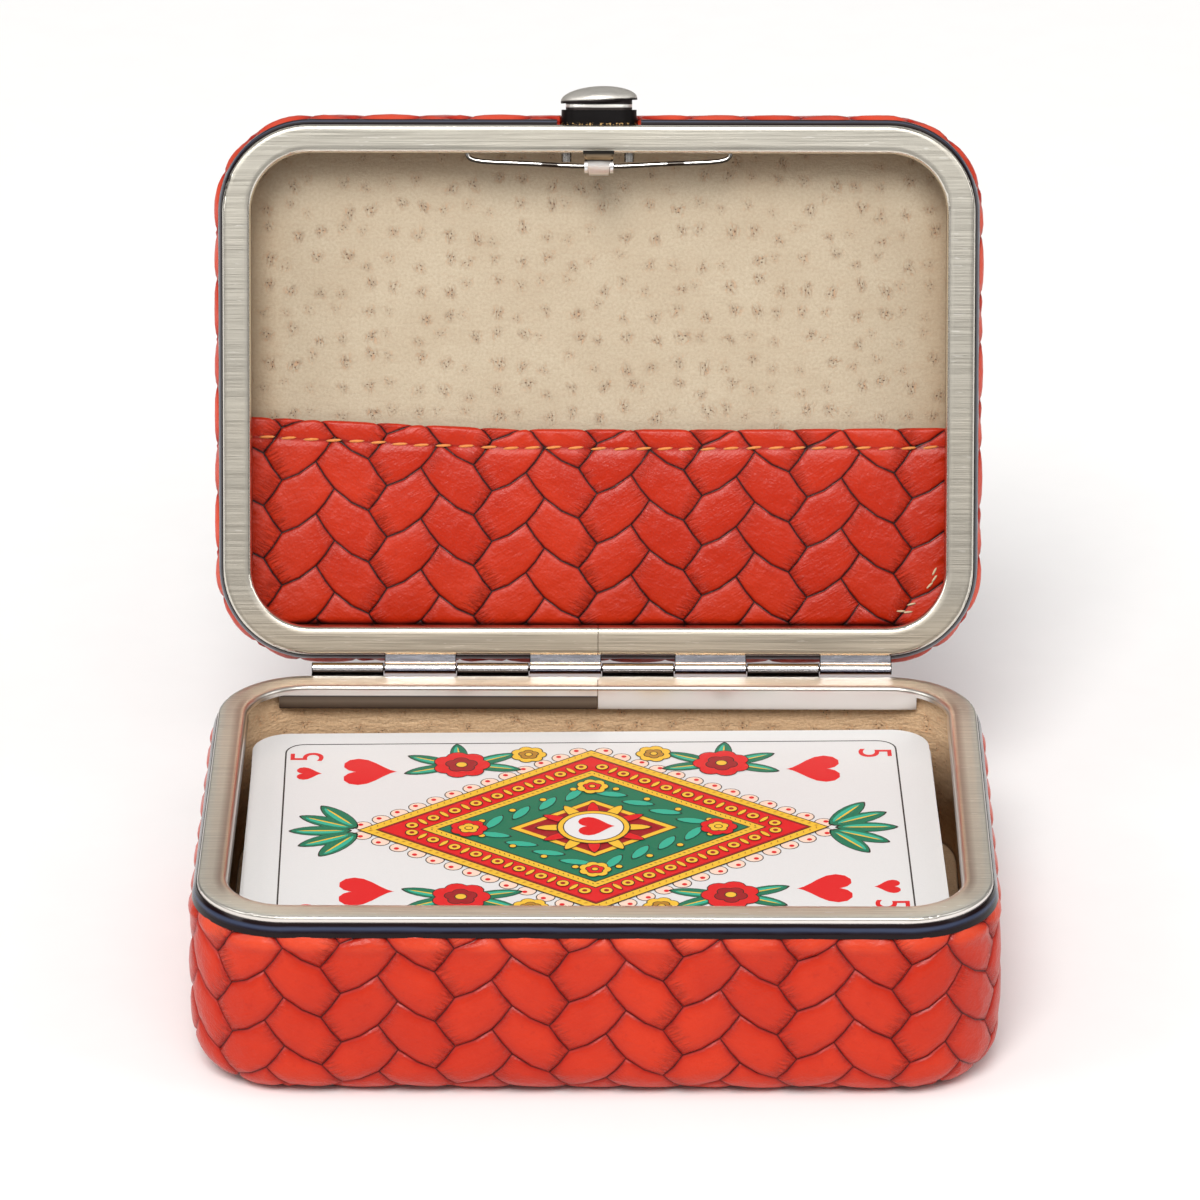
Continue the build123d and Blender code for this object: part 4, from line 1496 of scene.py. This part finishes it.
def card_board(name, edges):
    """Coated white card, with lines for the cut edges where asked."""
    mat = Finish(name, IOR=1.5, Coat_Weight=0.1, Coat_Roughness=0.2)
    tooth = mat.grain((4500, 4500, 4500), 2.0)
    mat.bump(tooth, 0.006 * mm)
    white = mat.mix(tooth, (0.67, 0.67, 0.67), (0.73, 0.73, 0.73))
    if edges:
        level = mat.add("SeparateXYZ", {0: mat.here()}).outputs[2]
        share = mat.math("FRACT", mat.math("DIVIDE", level, card_thickness))
        gap = mat.math("ABSOLUTE", mat.math("SUBTRACT", share, 0.5))
        white = mat.mix(mat.remap(gap, 0.34, 0.5, 0, 0.55), white, (0.35, 0.34, 0.33))
    return mat.done(white, mat.from_noise(tooth, 0.32, 0.42))


dress(["card_deck"], card_board("card_edges", True))
dress(["top_card"], card_board("card_face", False))

# %% [markdown]
# ## Print of the top card
# The top card is a five of hearts with a medallion in red, green and gold. Ink has no thickness,
# so every colour is a set of flat shapes just over the card, stacked in thin steps in the order in
# which they were printed. All shapes start as circles: with four sides they make lozenges, and
# bent by a curve they make hearts and leaves.

# %% Inks and shapes
card_low, card_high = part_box("top_card")
card_turn = radians(1.2)
card_middle = (card_low + card_high) / 2
card_place = Matrix.Translation((*card_middle.xy, card_high.z)) @ Matrix.Rotation(card_turn, 4, "Z")
ink_step = 0.008 * mm


def ink(name, colour):
    """Printing ink with a trace of paper grain showing through."""
    mat = Finish(name, IOR=1.5, Coat_Weight=0.05, Coat_Roughness=0.2, Specular_IOR_Level=0.2)
    tooth = mat.grain((5000, 5000, 5000))
    pale = tuple(part + 0.015 * (0.9 - part) for part in colour)
    colour = mat.mix(mat.remap(tooth, 0.35, 0.7), colour, pale)
    return mat.done(colour, mat.from_noise(tooth, 0.30, 0.40))


def on_card(x, y, layer, turn=0.0):
    """Place in millimetres from the card's middle, in one of the layers of ink."""
    spot = Matrix.Translation((x * mm, y * mm, layer * ink_step))
    return card_place @ spot @ Matrix.Rotation(radians(turn), 4, "Z")


def disc(net, x, y, half_x, half_y, layer, turn=0.0, sides=24):
    """Flat disc, or a lozenge with four sides, at a place on the card."""
    place = on_card(x, y, layer, turn) @ Matrix.Diagonal((half_x * mm, half_y * mm, 1, 1))
    bmesh.ops.create_circle(net, cap_ends=True, segments=sides, radius=1, matrix=place)


def shaped(net, x, y, size, layer, turn, curve, sides=24):
    """Disc whose edge is bent to a curve given as a function of the angle."""
    made = bmesh.ops.create_circle(net, cap_ends=True, segments=sides, radius=1)["verts"]
    place = on_card(x, y, layer, turn)
    for vert in made:
        bent = curve(atan2(vert.co.y, vert.co.x))
        vert.co = place @ Vector((bent[0] * size * mm, bent[1] * size * mm, 0))


def heart_curve(angle):
    """Edge of a heart, its point downward."""
    t = pi / 2 - angle
    return sin(t) ** 3, (13 * cos(t) - 5 * cos(2 * t) - 2 * cos(3 * t) - cos(4 * t)) / 16


def leaf_curve(angle):
    """Edge of a leaf that points to the right."""
    return cos(angle), 0.34 * sin(angle) * abs(sin(angle)) ** 0.4


def lit_half_curve(angle):
    """Edge of a leaf's lighter half."""
    return cos(angle), 0.26 * max(0.0, sin(angle))


def vein_curve(angle):
    """Edge of a leaf's thin middle vein."""
    return cos(angle), 0.05 * sin(angle)


print("one layer of ink is", ink_step / mm, "mm")

# %% [markdown]
# ## Motifs of the print
# Court cards are printed with a black key line round every colour, so each shape gets a slightly
# larger black one under it. Leaves and blossoms are made of such shapes.

# %% Motifs of the print
tip_x, tip_y = 31.0, 23.6
inks = {
    "black": (0.015, 0.013, 0.012), "red": (0.66, 0.010, 0.014), "crimson": (0.30, 0.006, 0.012),
    "green": (0.0, 0.16, 0.085), "teal": (0.02, 0.40, 0.27), "gold": (0.80, 0.48, 0.04),
    "ochre": (0.42, 0.20, 0.02), "blush": (0.84, 0.62, 0.50), "white": (0.72, 0.72, 0.72),
}
nets = {name: bmesh.new() for name in inks}


def frame_line(net, half_x, half_y, radius, width, layer):
    """Thin line round the card: a rounded rectangle with its inner part cut out."""
    size = Matrix.Diagonal((half_x * mm, half_y * mm, 1, 1))
    made = bmesh.ops.create_grid(net, x_segments=1, y_segments=1, size=1, matrix=size)["verts"]
    bevel(net, made[0].link_faces[0].verts[:], radius * mm, 6, "VERTICES")
    face = max(net.faces, key=lambda each: each.calc_area())
    bmesh.ops.inset_individual(net, faces=[face], thickness=width * mm, use_even_offset=True)
    bmesh.ops.delete(net, geom=[face], context="FACES_ONLY")
    bmesh.ops.transform(net, matrix=on_card(0, 0, layer), verts=net.verts[:])


def outlined(name, x, y, size, layer, turn, curve, line=0.22, sides=20):
    """Shape with a black key line round it."""
    shaped(nets["black"], x, y, size + line, layer, turn, curve, sides)
    shaped(nets[name], x, y, size, layer + 1, turn, curve, sides)


def ringed(name, x, y, radius, layer, line=0.14, sides=14):
    """Disc with a black key line round it."""
    disc(nets["black"], x, y, radius + line, radius + line, layer, 0, sides)
    disc(nets[name], x, y, radius, radius, layer + 1, 0, sides)


def leaf(x, y, size, layer, turn):
    """Green leaf with a lighter half and a gold vein."""
    outlined("green", x, y, size, layer, turn, leaf_curve, 0.30)
    shaped(nets["teal"], x, y, size * 0.82, layer + 2, turn, lit_half_curve, 16)
    shaped(nets["gold"], x, y, size * 0.75, layer + 3, turn, vein_curve, 8)


def blossom(x, y, size, layer, petal, heart, turn):
    """Two rings of petals round a gold middle."""
    for ring, (count, reach, wide) in enumerate(((7, 1.0, 0.62), (5, 0.48, 0.42))):
        for number in range(count):
            angle = radians(360 / count * number + 20 * ring + turn)
            spot = x + size * reach * cos(angle), y + size * reach * sin(angle)
            ringed((petal, heart)[ring], *spot, size * wide, layer + 2 * ring + 0.1 * number)
    ringed("gold", x, y, size * 0.30, layer + 5)


def down_the_side(quarter, count, shift=0.5, total=None):
    """Places down one side of the medallion, from its tip on X to its tip on Y."""
    for number in range(count):
        share = (number + shift) / (total or count)
        yield quarter[0] * tip_x * (1 - share), quarter[1] * tip_y * share


print("inks", list(inks))

# %% [markdown]
# ## The card's design
# Everything is drawn for one half and repeated with half a turn, as on any playing card. The
# medallion's borders are lozenges laid one on the other.

# %% The card's design
heart_x, heart_y = -30.2, 17.6
fan_x = -31.2
rose_x, rose_y = -17.4, 19.4
bud_x, bud_y = -8.4, 22.4
dot_count = 13
border_layer = 14
rose_leaves = ((200, 4.6), (155, 4.4), (28, 4.8), (-12, 4.6), (95, 3.8))
frame_line(nets["black"], 41.1, 26.2, 2.6, 0.22, 1)
for turn in (0, 180):
    way = 1 if turn == 0 else -1

    def at(x, y):
        return way * x, way * y

    for side in (-1, 1):
        shaped(nets["red"], *at(heart_x, side * heart_y), 4.0, 2, turn + 90, heart_curve)
    shaped(nets["red"], *at(-38.0, 17.2), 1.9, 2, turn + 90, heart_curve)
    for number in (-2, 2, -1, 1, 0):
        spread = number * 27
        reach = 4.7 - 0.4 * abs(number)
        spot = fan_x - reach * cos(radians(spread)), 1.3 * reach * sin(radians(spread))
        leaf(*at(*spot), 3.9, 3 + 0.5 * (2 - abs(number)), turn + 180 - spread)
    for side in (-1, 1):
        for lean_angle, far in rose_leaves:
            angle = radians(side * lean_angle)
            spot = rose_x + far * cos(angle), side * rose_y + 0.8 * far * sin(angle)
            leaf(*at(*spot), 3.3, 3, turn + side * lean_angle)
        blossom(*at(rose_x, side * rose_y), 2.35, 8, "red", "crimson", turn)
        blossom(*at(bud_x, side * bud_y), 1.45, 8, "gold", "ochre", turn)
        for x, y in down_the_side((-1, side), dot_count):
            ringed("blush", *at(x - 0.5, y + side * 0.5), 1.15, 2)
            disc(nets["red"], *at(x - 0.8, y + side * 0.8), 0.35, 0.35, 5, 0, 10)

lozenges = (
    (1.0, "black"), (0.99, "gold"), (0.925, "black"), (0.917, "crimson"), (0.90, "red"),
    (0.735, "black"), (0.725, "gold"), (0.665, "black"), (0.655, "green"), (0.36, "black"),
    (0.35, "gold"), (0.31, "crimson"),
)
for level, (share, name) in enumerate(lozenges):
    disc(nets[name], 0, 0, tip_x * share, tip_y * share, border_layer + level, 0, 4)
print("medallion", 2 * tip_x, "by", 2 * tip_y, "mm")

# %% [markdown]
# ## Inside the medallion
# The borders carry a chain of gold beads and fine strokes, the green field carries a wreath, and
# the middle holds the fifth heart.

# %% Inside the medallion
side_slope = -37.3
stroke_count, bead_count, wreath_count = 34, 9, 4
bead_share, wreath_share = 0.815, 0.50
for quarter in ((-1, -1), (-1, 1), (1, -1), (1, 1)):
    slope = quarter[0] * quarter[1] * side_slope
    for x, y in down_the_side(quarter, stroke_count):
        disc(nets["ochre"], 0.958 * x, 0.958 * y, 0.34, 0.09, 28, slope + 52, 4)
        disc(nets["black"], 0.695 * x, 0.695 * y, 0.26, 0.07, 28, slope - 40, 4)
    for x, y in down_the_side(quarter, bead_count):
        x, y = bead_share * x, bead_share * y
        ringed("gold", x, y, 0.78, 28)
        disc(nets["crimson"], x, y, 0.34, 0.34, 31, 0, 10)
    for x, y in down_the_side(quarter, bead_count - 1, 1, bead_count):
        x, y = bead_share * x, bead_share * y
        outlined("gold", x, y, 0.95, 28, slope + 90, leaf_curve, 0.2, 10)
    turned = slope + (0 if quarter[0] < 0 else 180) + 24
    for x, y in down_the_side(quarter, wreath_count, 0.7, wreath_count + 0.4):
        spot = wreath_share * x, wreath_share * y
        outlined("teal", *spot, 2.1, 28, turned, leaf_curve, 0.25, 12)
        ringed("gold", 0.575 * x + 0.3, 0.575 * y, 0.42, 31)
for side in (-1, 1):
    blossom(side * 16.4, 0, 1.5, 32, "red", "gold", 0)
    blossom(0, side * 12.2, 1.3, 32, "gold", "red", 0)
for number in range(12):
    angle, odd = 30 * number, number % 2
    x, y = 5.2 * cos(radians(angle)), 5.0 * sin(radians(angle))
    outlined(("gold", "red")[odd], x, y, 2.3, 34 + odd, angle, leaf_curve, 0.25, 12)
ringed("gold", 0, 0, 4.7, 38, 0.2, 32)
ringed("white", 0, 0, 3.9, 40, 0.15, 32)
shaped(nets["red"], 0, 0.2, 2.7, 43, 90, heart_curve, 28)
print("shapes", {name: len(net.faces) for name, net in nets.items()})

# %% [markdown]
# ## Index figures
# The plain figure stands at the ends of the card, turned so that it reads from the card's sides.
# It is red like the hearts, so it joins their net. Then every ink becomes a piece.

# %% Index figures
for way, turn in ((1, 90), (-1, -90)):
    for end in (1, -1):
        glyph = bpy.data.curves.new("index_five", "FONT")
        glyph.body = "5"
        glyph.size = 6.4 * mm
        glyph.align_x = "CENTER"
        glyph.align_y = "CENTER"
        mesh = mesh_from("index_five", glyph)
        mesh.transform(on_card(way * -37.9, way * end * 22.3, 2, turn))
        nets["red"].from_mesh(mesh)
        bpy.data.meshes.remove(mesh)

for name, net in nets.items():
    bmesh.ops.recalc_face_normals(net, faces=net.faces[:])
    for face in net.faces:
        if face.normal.z < 0:
            face.normal_flip()
    make_piece(net, f"card_print_{name}", ink(f"ink_{name}", inks[name]), "tray")

# %% [markdown]
# ## Floor
# A pale sweep carries the case. It is far larger than the view, so it has no edge in the picture.

# %% Floor
sweep = Finish("sweep_paper", Roughness=0.9)
paper = sweep.mix(sweep.grain((120, 120, 120)), (0.88, 0.88, 0.88), (0.91, 0.91, 0.91))
floor_net = bmesh.new()
bmesh.ops.create_grid(floor_net, x_segments=1, y_segments=1, size=4.0)
floor_mesh = bpy.data.meshes.new("studio_floor")
floor_net.to_mesh(floor_mesh)
floor_net.free()
floor = new_object("studio_floor", floor_mesh, sweep.done(paper))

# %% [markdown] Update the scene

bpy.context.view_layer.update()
